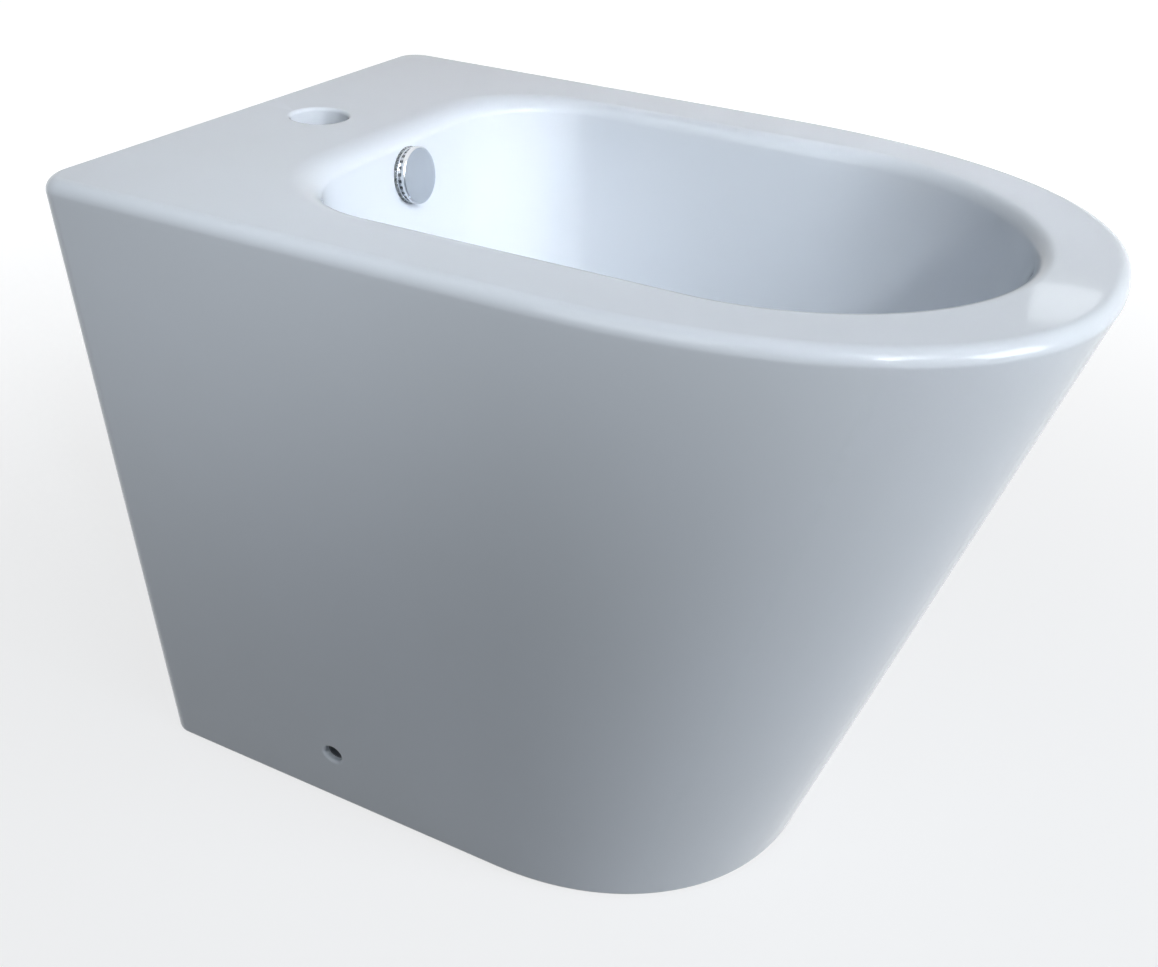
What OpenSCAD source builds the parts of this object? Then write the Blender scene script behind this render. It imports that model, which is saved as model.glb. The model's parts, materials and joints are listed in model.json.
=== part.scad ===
// Floor standing bidet, back to the wall, with its overflow, push-button waste,
// bottle trap and side fixings. Millimetres, +Z up, the wall side at +Y, the
// front of the bowl towards -Y, and the origin on the floor at the middle of
// the overall box. Distances "from the wall" run forward from the back face.

/* [Body] */
// Overall width across the rim
body_w = 360; // [340:1:390]
// Overall depth from the wall to the front of the rim
body_l = 525; // [505:1:560]
// Height of the rim above the floor
body_h = 408; // [390:1:440]
// Distance from the wall over which the rim's sides run straight
rim_straight = 279; // [250:1:310]
// Squareness of the rim's rounded front, where 2 is an ellipse
rim_power = 2.33; // [2:0.01:2.7]
// Width of the foot on the floor
foot_w = 289; // [270:1:310]
// Depth of the foot from the wall to its front
foot_l = 417; // [395:1:440]
// Distance from the wall over which the foot's sides run straight
foot_straight = 261; // [235:1:285]
// Squareness of the foot's rounded front
foot_power = 2.14; // [2:0.01:2.6]
// Radius of the two upright corners at the wall
corner_r = 14; // [8:1:24]

/* [Rim] */
// Rounding of the rim's outer edge
rim_edge_r = 7.5; // [5:0.5:12]
// How far that rounding runs forward over the back edge
back_edge_run = 4; // [2:0.5:8]
// Flat land beside the bowl, from the rim's side to the bowl's edge
side_land = 43; // [38:1:52]
// Flat land in front of the bowl
nose_land = 36; // [30:1:46]
// Depth of the deck that carries the tap, from the wall to the bowl's edge
deck_l = 93; // [86:1:104]
// Rounding of the bowl's edge at its sides and front
bowl_edge_r = 10; // [6:0.5:14]
// How far the softer bowl edge runs forward at the back
bowl_edge_run = 19; // [12:0.5:24]

/* [Bowl] */
// Distance from the wall over which the bowl's sides run straight
bowl_straight = 347; // [320:1:370]
// Squareness of the bowl's rounded front
bowl_power = 1.95; // [1.8:0.01:2.3]
// Radius of the bowl's two back corners at the rim
bowl_corner_r = 75; // [55:1:90]
// Depth from the rim down to the edge of the bowl's floor
bowl_depth = 148; // [130:1:165]
// Width of the bowl's floor
bowl_floor_w = 144; // [120:1:170]
// Distance from the wall to the back of the bowl's floor
bowl_floor_back = 160; // [150:1:168]
// Distance from the wall to the front of the bowl's floor
bowl_floor_nose = 395; // [370:1:420]
// Distance from the wall over which the floor's sides run straight
bowl_floor_straight = 300; // [280:1:320]
// Radius of the floor's two back corners
bowl_floor_corner_r = 60; // [45:1:68]
// Squareness of the turn from the bowl's wall into its floor
bowl_turn_power = 2.6; // [2.2:0.05:3]
// Part of the wall's run that is a straight lean
bowl_lean = 0.4; // [0.25:0.05:0.6]
// Fall of the floor from its edge down to the waste
waste_fall = 8; // [4:0.5:14]

/* [Ceramic walls] */
// Thickness of the skirt and of the bowl's wall
wall_t = 11; // [9:0.5:13]
// Thickness of the deck and of the rim's land
deck_t = 14; // [12:0.5:18]
// Width of the thickened foot on the floor
foot_land = 20; // [16:1:24]
// Height of the thickened foot
foot_land_h = 12; // [8:1:16]
// Height at which the skirt is down to its own thickness again
foot_taper_h = 28; // [24:1:32]
// Rounding of the foot's outer edge
foot_edge_r = 4; // [2:0.5:6]
// Width of the service opening in the back
opening_w = 200; // [170:1:220]
// Height of the service opening above the floor
opening_h = 300; // [260:1:320]
// Radius of the service opening's top corners
opening_r = 40; // [20:1:60]

/* [Tap hole] */
// Radius of the tap hole
tap_r = 17.5; // [16:0.25:18.5]
// Distance from the wall to the tap hole's centre
tap_back = 49; // [44:1:54]
// Glazed easing round the top of the tap hole
tap_ease = 1.2; // [0.6:0.1:2]

/* [Overflow] */
// Height of the overflow's centre below the rim, measured on the bowl's wall
overflow_drop = 25; // [24:0.5:34]
// Radius of the overflow hole in the ceramic
overflow_hole_r = 11; // [9.5:0.25:12]
// Radius of the mirror cap
overflow_cap_r = 17.1; // [16:0.1:19]
// Thickness of the mirror cap
overflow_cap_t = 2.6; // [2:0.1:3.5]
// Rounding of the mirror cap's edge
overflow_cap_edge = 1.1; // [0.5:0.1:1.3]
// Radius of the ring's flange
overflow_flange_r = 16.4; // [15.5:0.1:17.5]
// Thickness of the ring's flange
overflow_flange_t = 1.2; // [0.8:0.1:2]
// Radius of the toothed crown that holds the cap off the flange
overflow_crown_r = 15.2; // [13.8:0.1:15.4]
// Radial thickness of the crown's teeth
overflow_crown_t = 1.6; // [1.2:0.1:2]
// Height of the crown, which is the gap that the water runs in by
overflow_crown_h = 2.6; // [2:0.1:4]
// Number of teeth round the crown
overflow_teeth = 24; // [16:1:30]
// Length of the sleeve that goes into the ceramic
overflow_sleeve_l = 14; // [12:0.5:17]
// Wall of that sleeve
overflow_sleeve_t = 1.4; // [1:0.1:1.8]
// Radius of the clear gasket
overflow_seal_r = 17; // [16:0.1:18]
// Thickness of the clear gasket
overflow_seal_t = 1.5; // [1:0.1:2.5]
// Length of the cap's three spring fingers
overflow_finger_l = 9; // [7:0.5:11]
// Inside width of the overflow duct
duct_w = 50; // [40:1:60]
// Wall of the overflow duct
duct_t = 6; // [5:0.5:8]
// Distance from the wall to the back of the duct
duct_back = 82; // [78:1:84]
// Inside height of the duct where it enters the waste hole
duct_h = 18; // [14:1:20]

/* [Waste] */
// Distance from the wall to the waste's centre
waste_back = 215; // [208:1:225]
// Radius of the flat seat that is pressed into the bowl's floor
waste_seat_r = 36; // [34:0.5:40]
// Length of the waste hole through the ceramic
waste_hole_l = 40; // [38:1:44]
// Wall of the ceramic round the waste hole
waste_boss_t = 14; // [12:0.5:18]
// Radius over the threads of the 1 1/4 inch tail
tail_r = 20.95; // [20:0.05:21.5]
// Wall of the tail
tail_t = 2.6; // [2.2:0.1:3.2]
// Length of the tail below the waste's seat
tail_l = 76; // [74:1:82]
// Pitch of the tail's ridges
thread_pitch = 2.3; // [1.8:0.1:2.6]
// Depth of the tail's ridges
thread_depth = 0.9; // [0.5:0.1:1.1]
// Radius of the waste's flange
flange_r = 32.5; // [31.5:0.5:34]
// Thickness of the waste's flange
flange_t = 3; // [2.5:0.1:4]
// Width of each overflow slot in the tail
slot_w = 12; // [8:0.5:14]
// Number of overflow slots
slot_count = 4; // [3:1:4]
// Thickness of the soft seal under the flange
top_seal_t = 1.5; // [1:0.1:2.5]
// Radius of the tapered seal under the ceramic
bottom_seal_r = 34; // [31:0.5:35]
// Height of the tapered seal
bottom_seal_h = 8; // [6:0.5:10]
// Thickness of the washer above the back nut
back_washer_t = 2; // [1.5:0.1:3]
// Width of the back nut across its flats
back_nut_flats = 52; // [50:1:56]
// Height of the back nut
back_nut_h = 10; // [8:0.5:12]

/* [Push plug] */
// Radius of the plug's disc
plug_r = 31.5; // [30:0.5:33]
// Thickness of the disc at its rim
plug_t = 3.4; // [2.8:0.1:4.5]
// Rise of the disc's dome
plug_dome = 1.6; // [0.8:0.1:2.5]
// How far the plug travels between open and shut
plug_travel = 8; // [6:0.5:9]
// Radius of the rubber ring under the disc, at its middle
plug_seal_r = 25; // [24:0.5:26]
// Width of the rubber ring
plug_seal_w = 5; // [4:0.5:6]
// Height of the rubber ring
plug_seal_h = 3; // [2.5:0.1:4]
// Radius of the plug's stem
stem_r = 4; // [3.5:0.1:4.4]
// Radius of the stem's collar inside the cartridge
collar_r = 6.9; // [6.4:0.1:7.4]
// Thickness of the collar
collar_t = 3; // [2:0.5:4]
// Wall of the cartridge
cartridge_t = 1.6; // [1.4:0.1:2]
// Inside depth of the cartridge
cartridge_l = 18; // [18:0.5:20]
// Thickness of the cartridge's screwed cap
cartridge_cap_t = 3.5; // [3:0.5:4]
// Thickness of the cross bars that carry the cartridge
spider_t = 4; // [3:0.5:5]
// Width of each cross bar
spider_w = 3; // [2.5:0.5:4]
// Radius of the stud that fixes the cartridge to the cross bars
stud_r = 3; // [2.5:0.1:3.5]
// Diameter of the spring's wire
spring_wire = 1; // [0.8:0.1:1.1]
// Number of turns in the spring
spring_turns = 5; // [4:1:5]

/* [Trap] */
// Drop from the end of the waste's tail to the outlet pipe's centre
outlet_drop = 64; // [62:1:70]
// Radius of the inlet and outlet pipes
pipe_r = 16; // [15.5:0.1:16.2]
// Wall of the pipes
pipe_t = 1.6; // [1.4:0.1:2]
// Radius of the trap's head
head_r = 30; // [29:0.5:32]
// Wall of the trap's head and cup
trap_t = 3; // [2.5:0.1:3.5]
// Height of the cup below the head
cup_h = 34; // [28:1:38]
// Height of the cup's collar round the head
cup_collar_h = 14; // [10:1:16]
// Thickness of the collar
cup_collar_t = 3.6; // [3:0.1:4.5]
// How far the dip tube stops above the cup's floor
dip_gap = 15; // [12:1:20]
// Length of the outlet branch from the trap's axis
branch_l = 52; // [50:1:58]
// Thickness of the compression collars round the pipes
neck_t = 3.4; // [3:0.1:4]
// Height of the screwed neck under each compression nut
neck_h = 10; // [9:0.5:12]
// Height of each tapered compression ring
olive_h = 4; // [3:0.5:5]
// Wall of each compression nut
nut_t = 4; // [3:0.25:5]
// Thickness of the lip that closes each nut round its pipe
nut_lip = 3; // [2.5:0.25:4]
// Number of grip ribs on each nut
nut_ribs = 16; // [12:2:20]
// Thickness of the flat sealing washer below the tail
inlet_washer_t = 2.8; // [2:0.1:3.5]
// Thickness of the flange on the inlet tube
inlet_flange_t = 2.5; // [2:0.1:3]
// Gap between the end of the outlet pipe and the wall
outlet_gap = 2; // [1:0.5:6]
// Length of the outlet pipe's free end, past its insertion mark
spigot_l = 60; // [40:1:90]
// Depth of the insertion mark, a groove round the pipe
mark_depth = 0.4; // [0.2:0.1:0.6]

/* [Side fixings] */
// Distance from the wall to the side fixing holes
side_hole_back = 143; // [130:1:155]
// Height of the side fixing holes above the floor
side_hole_z = 44; // [40:1:50]
// Radius of the side fixing holes
side_hole_r = 6.4; // [6.3:0.1:7]
// How far the sleeve stays inside the ceramic's outer face
sleeve_recess = 5; // [3:0.5:6]
// Wall of the sleeve round the screw's head
sleeve_t = 0.9; // [0.7:0.1:1]
// Depth of the sleeve's mouth, down to the floor that the screw's head pulls on
sleeve_mouth = 12.5; // [10:0.5:14]
// Radius of the fixing screw
screw_r = 3; // [2.5:0.1:3.2]
// Radius of the screw's head
screw_head_r = 5; // [4.8:0.1:5.2]
// Height of the screw's head
screw_head_h = 4; // [3:0.25:5]
// How far the screw stands through its nut
screw_tip = 4; // [2:0.5:6]
// Width of the screw's nut across its flats
screw_nut_flats = 10; // [9:0.5:11]
// Height of the screw's nut
screw_nut_h = 5; // [4:0.5:6]
// Thickness of the floor brackets
bracket_t = 3; // [2.5:0.1:4]
// Width of the floor brackets along the wall's normal
bracket_w = 40; // [32:1:48]
// Height of the brackets above the screw
bracket_over = 14; // [11:1:18]
// Length of each bracket's foot
bracket_foot = 44; // [38:1:50]
// Distance from the upright to the floor hole
floor_hole_in = 24; // [18:1:28]
// Radius of the floor hole
floor_hole_r = 3.5; // [3:0.1:4]

/* [Clearances] */
// Gap round the tail in its ceramic hole
tail_clear = 1.55; // [1:0.05:2]
// Gap between a screwed or slipped piece and what it goes over
slip_clear = 0.15; // [0.1:0.01:0.25]
// Running gap of the stem and collar in the cartridge
run_clear = 0.05; // [0.02:0.01:0.09]
// Gap left between a seal and the face that it closes on
seal_clear = 0.2; // [0.1:0.05:0.3]
// Gap between a bracket and the foot's inner face
bracket_clear = 2; // [1:0.5:3]

/* [Hidden] */

$fn = 64;
eps = 0.01;
// An outline's straight ends never shrink to nothing, so that no two points meet
tiny = 0.25;
// Points along each back corner, round the front, and round each rolled edge
corner_steps = 5;
nose_steps = 34;
edge_steps = 4;
// Places down the bowl's wall, as angles of the turn from wall to floor
turn_angles = [0, 14, 26, 37, 47, 56, 64, 72, 79, 85, 90];
// The bowl's edge turns this far before it meets the leaning wall
edge_turn = 82;

wall_y = body_l / 2;
waste_y = wall_y - waste_back;
side_hole_y = wall_y - side_hole_back;

// Heights of the ceramic
deck_under_z = body_h - deck_t;
bowl_wall_z = body_h - bowl_edge_r * (1 - cos(edge_turn));
bowl_floor_z = body_h - bowl_depth;
waste_seat_z = bowl_floor_z - waste_fall;
waste_boss_z = waste_seat_z - waste_hole_l;
waste_boss_r = tail_r + tail_clear + waste_boss_t;

// Outlines: half width, back, nose, end of the straight sides, squareness and
// corner radius, with the distances measured from the wall
rim_outline = [body_w / 2, 0, body_l, rim_straight, rim_power, corner_r];
foot_outline = [foot_w / 2, 0, foot_l, foot_straight, foot_power, corner_r];
mouth_outline = [
    body_w / 2 - side_land, deck_l, body_l - nose_land,
    bowl_straight, bowl_power, bowl_corner_r
];
bowl_wall_outline = edge_outline(edge_turn);
bowl_floor_outline = [
    bowl_floor_w / 2, bowl_floor_back, bowl_floor_nose,
    bowl_floor_straight, 2, bowl_floor_corner_r
];

function mix(a, b, t) = a * (1 - t) + b * t;
function bent(c, power) = sign(c) * pow(abs(c), 2 / power);
function grown(o, g) = [o[0] + g, o[1] - g, o[2] + g, o[3], o[4], max(o[5] + g, 2)];
function round_outline(r) = [
    r, waste_back - r, waste_back + r, waste_back + tiny, 2, r - tiny
];
// The skirt's outline at a height, on the straight lines from foot to rim
function skirt_outline(z) = mix(foot_outline, rim_outline, z / (body_h - rim_edge_r));
function skirt_half_w(z) = skirt_outline(z)[0];

// The points of one outline at height z
function ring(o, z) = [
    for (p = concat(
        [for (i = [0:corner_steps]) corner_point(o, 90 * i / corner_steps, 1)],
        [for (i = [0:nose_steps]) nose_point(o, 180 * i / nose_steps)],
        [for (i = [corner_steps:-1:0]) corner_point(o, 90 * i / corner_steps, -1)]
    )) [p[0], wall_y - p[1], z]
];
function corner_point(o, g, side) = [
    side * (o[0] - o[5] * (1 - sin(g))), o[1] + o[5] * (1 - cos(g))
];
function nose_point(o, g) = [
    o[0] * bent(cos(g), o[4]), o[3] + (o[2] - o[3]) * bent(sin(g), o[4])
];

// The bowl's rolled edge, from the flat land (0) down to the wall (edge_turn)
function edge_outline(g) = [
    mouth_outline[0] - bowl_edge_r * sin(g),
    mouth_outline[1] + bowl_edge_run * sin(g),
    mouth_outline[2] - bowl_edge_r * sin(g),
    bowl_straight, bowl_power, bowl_corner_r - bowl_edge_r * sin(g)
];
function edge_z(g) = body_h - bowl_edge_r * (1 - cos(g));

// The bowl's wall: how far down (0 to 1) and how far in (0 to 1) at an angle
function turn_down(g) = pow(abs(sin(g)), 2 / bowl_turn_power);
function turn_in(g) =
    bowl_lean * turn_down(g) + (1 - bowl_lean) * (1 - pow(abs(cos(g)), 2 / bowl_turn_power));
function bowl_z(g) = mix(bowl_wall_z, bowl_floor_z, turn_down(g));
function bowl_outline(g) = mix(bowl_wall_outline, bowl_floor_outline, turn_in(g));
function under_z(g) = mix(deck_under_z, bowl_floor_z - wall_t, turn_down(g));
function under_outline(g) =
    mix(grown(bowl_wall_outline, wall_t), grown(bowl_floor_outline, wall_t), turn_in(g));

// The rim's outer rounding, from the flat land (0) to the skirt (90)
function rim_round_outline(g) = let (inset = rim_edge_r * (1 - sin(g))) [
    rim_outline[0] - inset, back_edge_run * (1 - sin(g)), rim_outline[2] - inset,
    rim_straight, rim_power, corner_r
];
function rim_round_z(g) = body_h - rim_edge_r * (1 - cos(g));

// All levels of the ceramic's skin, from the bowl's floor over the rim, down
// the skirt, round the foot, up inside and down under the bowl to the boss
skin_rings = concat(
    [ring(round_outline(waste_seat_r), waste_seat_z)],
    [for (i = [len(turn_angles) - 1:-1:0]) ring(bowl_outline(turn_angles[i]), bowl_z(turn_angles[i]))],
    [for (i = [edge_steps - 1:-1:0]) let (g = edge_turn * i / edge_steps) ring(edge_outline(g), edge_z(g))],
    [for (i = [0:edge_steps]) let (g = 90 * i / edge_steps) ring(rim_round_outline(g), rim_round_z(g))],
    [for (i = [0:2]) let (g = 45 * i) ring(
        grown(foot_outline, -foot_edge_r * (1 - cos(g))), foot_edge_r * (1 - sin(g))
    )],
    [
        ring(grown(foot_outline, -foot_land), 0),
        ring(grown(foot_outline, -foot_land), foot_land_h),
        ring(grown(skirt_outline(foot_taper_h), -wall_t), foot_taper_h),
        ring(grown(skirt_outline(deck_under_z), -wall_t), deck_under_z),
    ],
    [for (g = turn_angles) ring(under_outline(g), under_z(g))],
    [
        ring(round_outline(waste_boss_r), waste_seat_z - wall_t),
        ring(round_outline(waste_boss_r), waste_boss_z),
    ]
);

// The overflow sits on the first straight facet of the bowl's back wall
seat_top = [bowl_outline(turn_angles[0])[1], bowl_z(turn_angles[0])];
seat_low = [bowl_outline(turn_angles[1])[1], bowl_z(turn_angles[1])];
overflow_tilt = atan2(seat_low[0] - seat_top[0], seat_top[1] - seat_low[1]);
overflow_z = body_h - overflow_drop;
overflow_seat_back = mix(seat_top[0], seat_low[0], (seat_top[1] - overflow_z) / (seat_top[1] - seat_low[1]));
duct_floor_z = bowl_floor_z - wall_t - duct_h;

// Heights of the waste, above its seat in the bowl's floor
flange_z = top_seal_t;
flange_top = flange_z + flange_t;
slot_top = duct_floor_z + duct_h - waste_seat_z - duct_t;
slot_low = duct_floor_z - waste_seat_z;
plug_seal_z = flange_top + seal_clear + plug_travel;
plug_z = plug_seal_z + plug_seal_h;
plug_boss_h = 6;
plug_boss_z = plug_z - plug_boss_h;
cartridge_r = collar_r + run_clear + cartridge_t;
cap_gap = 4;
cartridge_top = flange_z - cartridge_cap_t - plug_travel - cap_gap;
cartridge_low = cartridge_top - cartridge_l;
collar_top = cartridge_top - run_clear;
collar_low = collar_top - collar_t;
spider_top = cartridge_low - cartridge_t;
spider_low = spider_top - spider_t;
back_washer_z = -waste_hole_l - bottom_seal_h - back_washer_t;
back_nut_z = back_washer_z - back_nut_h;

// Heights and lengths of the trap
tail_low_z = waste_seat_z - tail_l;
outlet_z = tail_low_z - outlet_drop;
inlet_flange_z = tail_low_z - inlet_washer_t - inlet_flange_t;
bore_r = pipe_r + slip_clear;
neck_r = bore_r + neck_t;
collar_gap = 1.5;
head_low_z = outlet_z - neck_r - cup_collar_h - collar_gap;
head_top_z = outlet_z + neck_r + trap_t;
head_bore_r = head_r - trap_t;
cup_seal_t = 2;
cup_floor_z = head_low_z - cup_seal_t - cup_h;
dip_z = cup_floor_z + trap_t + dip_gap;
cup_r = head_r + slip_clear + cup_collar_t;
cup_seal_in = head_bore_r - 1;
// The outlet's socket, and how far the pipe stops short of its end
socket_l = neck_h + 4;
pipe_gap = 0.5;

// Places of the side fixings, as distances from the middle
bracket_x = foot_outline[0] - foot_land - bracket_clear;
upright_x = bracket_x - bracket_t;
sleeve_r = side_hole_r - slip_clear;
sleeve_x = skirt_half_w(side_hole_z) - sleeve_recess;
sleeve_floor_x = sleeve_x - sleeve_mouth;
screw_bore_r = screw_r + slip_clear;
floor_hole_x = upright_x - floor_hole_in;

glaze = [0.88, 0.9, 0.92];
chrome_look = [0.78, 0.8, 0.82];
brass_look = [0.8, 0.66, 0.35];
rubber_look = [0.16, 0.16, 0.17];
clear_look = [0.7, 0.73, 0.74];
plastic_look = [0.93, 0.94, 0.94];
steel_look = [0.6, 0.61, 0.63];

// ---------------------------------------------------------------- helpers

// A closed skin through a list of rings that all have the same number of points
module skin(rings) {
    n = len(rings[0]);
    last = len(rings) - 1;
    sides = [
        for (k = [0:last - 1], j = [0:n - 1])
            let (a = k * n + j, b = k * n + (j + 1) % n, c = b + n, d = a + n)
                each [[a, c, b], [a, d, c]]
    ];
    polyhedron(
        points = [for (r = rings) each r],
        faces = concat(
            sides,
            [[for (j = [0:n - 1]) j]],
            [[for (j = [n - 1:-1:0]) last * n + j]]
        )
    );
}

module tube(r_out, r_in, h) {
    difference() {
        cylinder(r = r_out, h = h);
        translate([0, 0, -1]) cylinder(r = r_in, h = h + 2);
    }
}

// A cone frustum with a round bore, for the tapered seals
module taper_ring(r_low, r_top, r_in, h) {
    difference() {
        cylinder(r1 = r_low, r2 = r_top, h = h);
        translate([0, 0, -1]) cylinder(r = r_in, h = h + 2);
    }
}

// A rod from z = 0 to h whose surface rises and falls at every pitch
module ridged_rod(r, depth, pitch, h) {
    turns = floor(h / pitch);
    rotate_extrude() polygon(concat(
        [[0, 0], [r - depth, 0]],
        [for (i = [0:turns - 1]) each [
            [r - depth, (i + 0.15) * pitch], [r, (i + 0.45) * pitch],
            [r, (i + 0.55) * pitch], [r - depth, (i + 0.85) * pitch]
        ]],
        [[r - depth, h], [0, h]]
    ));
}

module hex_nut(flats, h, r_in) {
    difference() {
        cylinder(r = flats / 2 / cos(30), h = h, $fn = 6);
        translate([0, 0, -1]) cylinder(r = r_in, h = h + 2);
    }
}

// A ribbed plastic nut that stands on z = 0, with its lip at the top
module ring_nut(r_neck, r_pipe, h) {
    r_out = r_neck + slip_clear + nut_t;
    rib_w = 3;
    rib_h = 1.2;
    difference() {
        union() {
            cylinder(r = r_out - rib_h, h = h);
            for (i = [0:nut_ribs - 1])
                rotate(360 * i / nut_ribs) translate([r_neck + nut_t / 2, -rib_w / 2, 0])
                    cube([r_out - r_neck - nut_t / 2, rib_w, h - nut_lip / 2]);
        }
        translate([0, 0, -1]) cylinder(r = r_neck + slip_clear, h = h - nut_lip + 1);
        translate([0, 0, -1]) cylinder(r = r_pipe, h = h + 2);
    }
}

// The overflow's own frame: +Z out of the bowl's back wall
module at_overflow() {
    translate([0, wall_y - overflow_seat_back, overflow_z])
        rotate([90 - overflow_tilt, 0, 0]) children();
}

// The waste's frame: z = 0 on the seat in the bowl's floor
module at_waste() {
    translate([0, waste_y, waste_seat_z]) children();
}

// The trap's frame: z = 0 on the floor, on the waste's axis
module at_trap() {
    translate([0, waste_y, 0]) children();
}

// A side fixing's frame: +Z outwards through the skirt, from the middle
module at_side(side) {
    translate([0, side_hole_y, side_hole_z]) rotate([0, 90 * side, 0]) children();
}

// ---------------------------------------------------------------- ceramic

// A side view, drawn as distance from the wall and height, made w wide
module across(w) {
    rotate([90, 0, 90]) translate([0, 0, -w / 2]) linear_extrude(w)
        mirror([1, 0]) translate([-wall_y, 0]) children();
}

// The line that runs a given distance behind the bowl's back wall
function behind_bowl(gap) = [
    for (g = turn_angles) [bowl_outline(g)[1] - gap, min(bowl_z(g), deck_under_z) - (g > 80 ? gap : 0)]
];

module duct_outside() {
    across(duct_w + 2 * duct_t) polygon(concat(
        [[duct_back, deck_under_z + 2], [bowl_wall_outline[1] - wall_t / 2, deck_under_z + 2]],
        behind_bowl(wall_t / 2),
        [
            [waste_back - waste_boss_r + 3, bowl_floor_z - wall_t / 2 - 2],
            [waste_back - waste_boss_r + 3, duct_floor_z - duct_t],
            [duct_back, duct_floor_z - duct_t],
        ]
    ));
}

module duct_inside() {
    across(duct_w) polygon(concat(
        [[duct_back + duct_t, deck_under_z]],
        behind_bowl(wall_t),
        [
            [waste_back - tail_r, duct_floor_z + duct_h],
            [waste_back - tail_r, duct_floor_z],
            [duct_back + duct_t, duct_floor_z],
        ]
    ));
}

module service_opening() {
    reach = foot_land + 5;
    translate([0, wall_y + 1, 0]) rotate([90, 0, 0]) linear_extrude(reach + 1) {
        translate([-opening_w / 2, -1]) square([opening_w, opening_h - opening_r + 1]);
        translate([-opening_w / 2 + opening_r, -1]) square([opening_w - 2 * opening_r, opening_h + 1]);
        for (side = [-1, 1])
            translate([side * (opening_w / 2 - opening_r), opening_h - opening_r]) circle(opening_r);
    }
}

// A hole that opens by a small rounding at its top, which is at z = 0
module eased_hole(r, ease, depth) {
    translate([0, 0, -depth]) cylinder(r = r, h = depth + 1);
    rotate_extrude() difference() {
        translate([0, -ease]) square([r + ease, 2 * ease]);
        translate([r + ease, -ease]) circle(ease);
    }
}

module ceramic_body() {
    color(glaze) difference() {
        union() {
            skin(skin_rings);
            duct_outside();
        }
        duct_inside();
        service_opening();
        translate([0, wall_y - tap_back, body_h]) eased_hole(tap_r, tap_ease, deck_t + 1);
        at_overflow() translate([0, 0, -wall_t - duct_t]) cylinder(r = overflow_hole_r, h = wall_t + duct_t + 10);
        at_waste() translate([0, 0, -waste_hole_l - 1]) cylinder(r = tail_r + tail_clear, h = waste_hole_l + 2);
        at_side(1) cylinder(r = side_hole_r, h = body_w + 2, center = true);
    }
}

// --------------------------------------------------------------- overflow

module overflow_seal() {
    color(clear_look) at_overflow() tube(overflow_seal_r, overflow_hole_r, overflow_seal_t);
}

module overflow_ring() {
    gap_w = PI * overflow_crown_r / overflow_teeth;
    crown_in_r = overflow_crown_r - overflow_crown_t;
    sleeve_out_r = overflow_hole_r - slip_clear;
    sleeve_in_r = sleeve_out_r - overflow_sleeve_t;
    sleeve_low = -overflow_sleeve_l;
    flange_top = overflow_seal_t + overflow_flange_t;
    color(chrome_look) at_overflow() difference() {
        union() {
            translate([0, 0, sleeve_low]) cylinder(r = sleeve_out_r, h = overflow_sleeve_l + flange_top);
            translate([0, 0, overflow_seal_t]) cylinder(r = overflow_flange_r, h = overflow_flange_t);
            translate([0, 0, flange_top - eps]) cylinder(r = overflow_crown_r, h = overflow_crown_h + eps);
        }
        translate([0, 0, sleeve_low - 1]) cylinder(r = sleeve_in_r, h = overflow_sleeve_l + flange_top + 2);
        translate([0, 0, flange_top]) cylinder(r = crown_in_r, h = overflow_crown_h + 1);
        for (i = [0:overflow_teeth - 1])
            rotate(360 * i / overflow_teeth) translate([crown_in_r - 0.5, -gap_w / 2, flange_top])
                cube([overflow_crown_t + 1, gap_w, overflow_crown_h + 1]);
    }
}

module overflow_cap() {
    low = overflow_seal_t + overflow_flange_t + overflow_crown_h;
    bore = overflow_hole_r - slip_clear - overflow_sleeve_t;
    finger_w = 5;
    finger_t = 1.5;
    color(chrome_look) at_overflow() {
        translate([0, 0, low]) rotate_extrude() union() {
            square([overflow_cap_r - overflow_cap_edge, overflow_cap_t]);
            square([overflow_cap_r, overflow_cap_t - overflow_cap_edge]);
            translate([overflow_cap_r - overflow_cap_edge, overflow_cap_t - overflow_cap_edge])
                circle(overflow_cap_edge);
        }
        intersection() {
            translate([0, 0, low - overflow_finger_l])
                tube(bore - run_clear, bore - run_clear - finger_t, overflow_finger_l + eps);
            for (i = [0:2])
                rotate(90 + 120 * i) translate([0, -finger_w / 2, low - overflow_finger_l])
                    cube([bore, finger_w, overflow_finger_l + eps]);
        }
    }
}

// ------------------------------------------------------------------ waste

module waste_flange() {
    bore = tail_r - tail_t;
    ridge_top = -waste_hole_l + 4;
    color(chrome_look) at_waste() {
        difference() {
            union() {
                translate([0, 0, flange_z]) cylinder(r1 = flange_r - 1, r2 = flange_r, h = flange_t / 2);
                translate([0, 0, flange_z + flange_t / 2]) cylinder(r = flange_r, h = flange_t / 2);
                translate([0, 0, ridge_top - eps])
                    cylinder(r = tail_r - thread_depth, h = flange_z - ridge_top + 2 * eps);
                translate([0, 0, -tail_l])
                    ridged_rod(tail_r, thread_depth, thread_pitch, tail_l + ridge_top);
            }
            translate([0, 0, -tail_l - 1]) cylinder(r = bore, h = tail_l + flange_top + 2);
            for (i = [0:slot_count - 1])
                rotate(90 + 360 * i / slot_count) translate([bore - 2, -slot_w / 2, slot_low])
                    cube([tail_t + 4, slot_w, slot_top - slot_low]);
        }
        translate([0, 0, spider_low]) difference() {
            union() {
                cylinder(r = cartridge_r - 1, h = spider_t);
                for (i = [0:2])
                    rotate(30 + 120 * i) translate([0, -spider_w / 2, 0])
                        cube([bore + tail_t / 3, spider_w, spider_t]);
            }
            translate([0, 0, -1]) cylinder(r = stud_r + slip_clear, h = spider_t + 2);
        }
    }
}

module waste_top_seal() {
    color(rubber_look) at_waste() tube(flange_r - 2, tail_r + tail_clear, top_seal_t);
}

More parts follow.
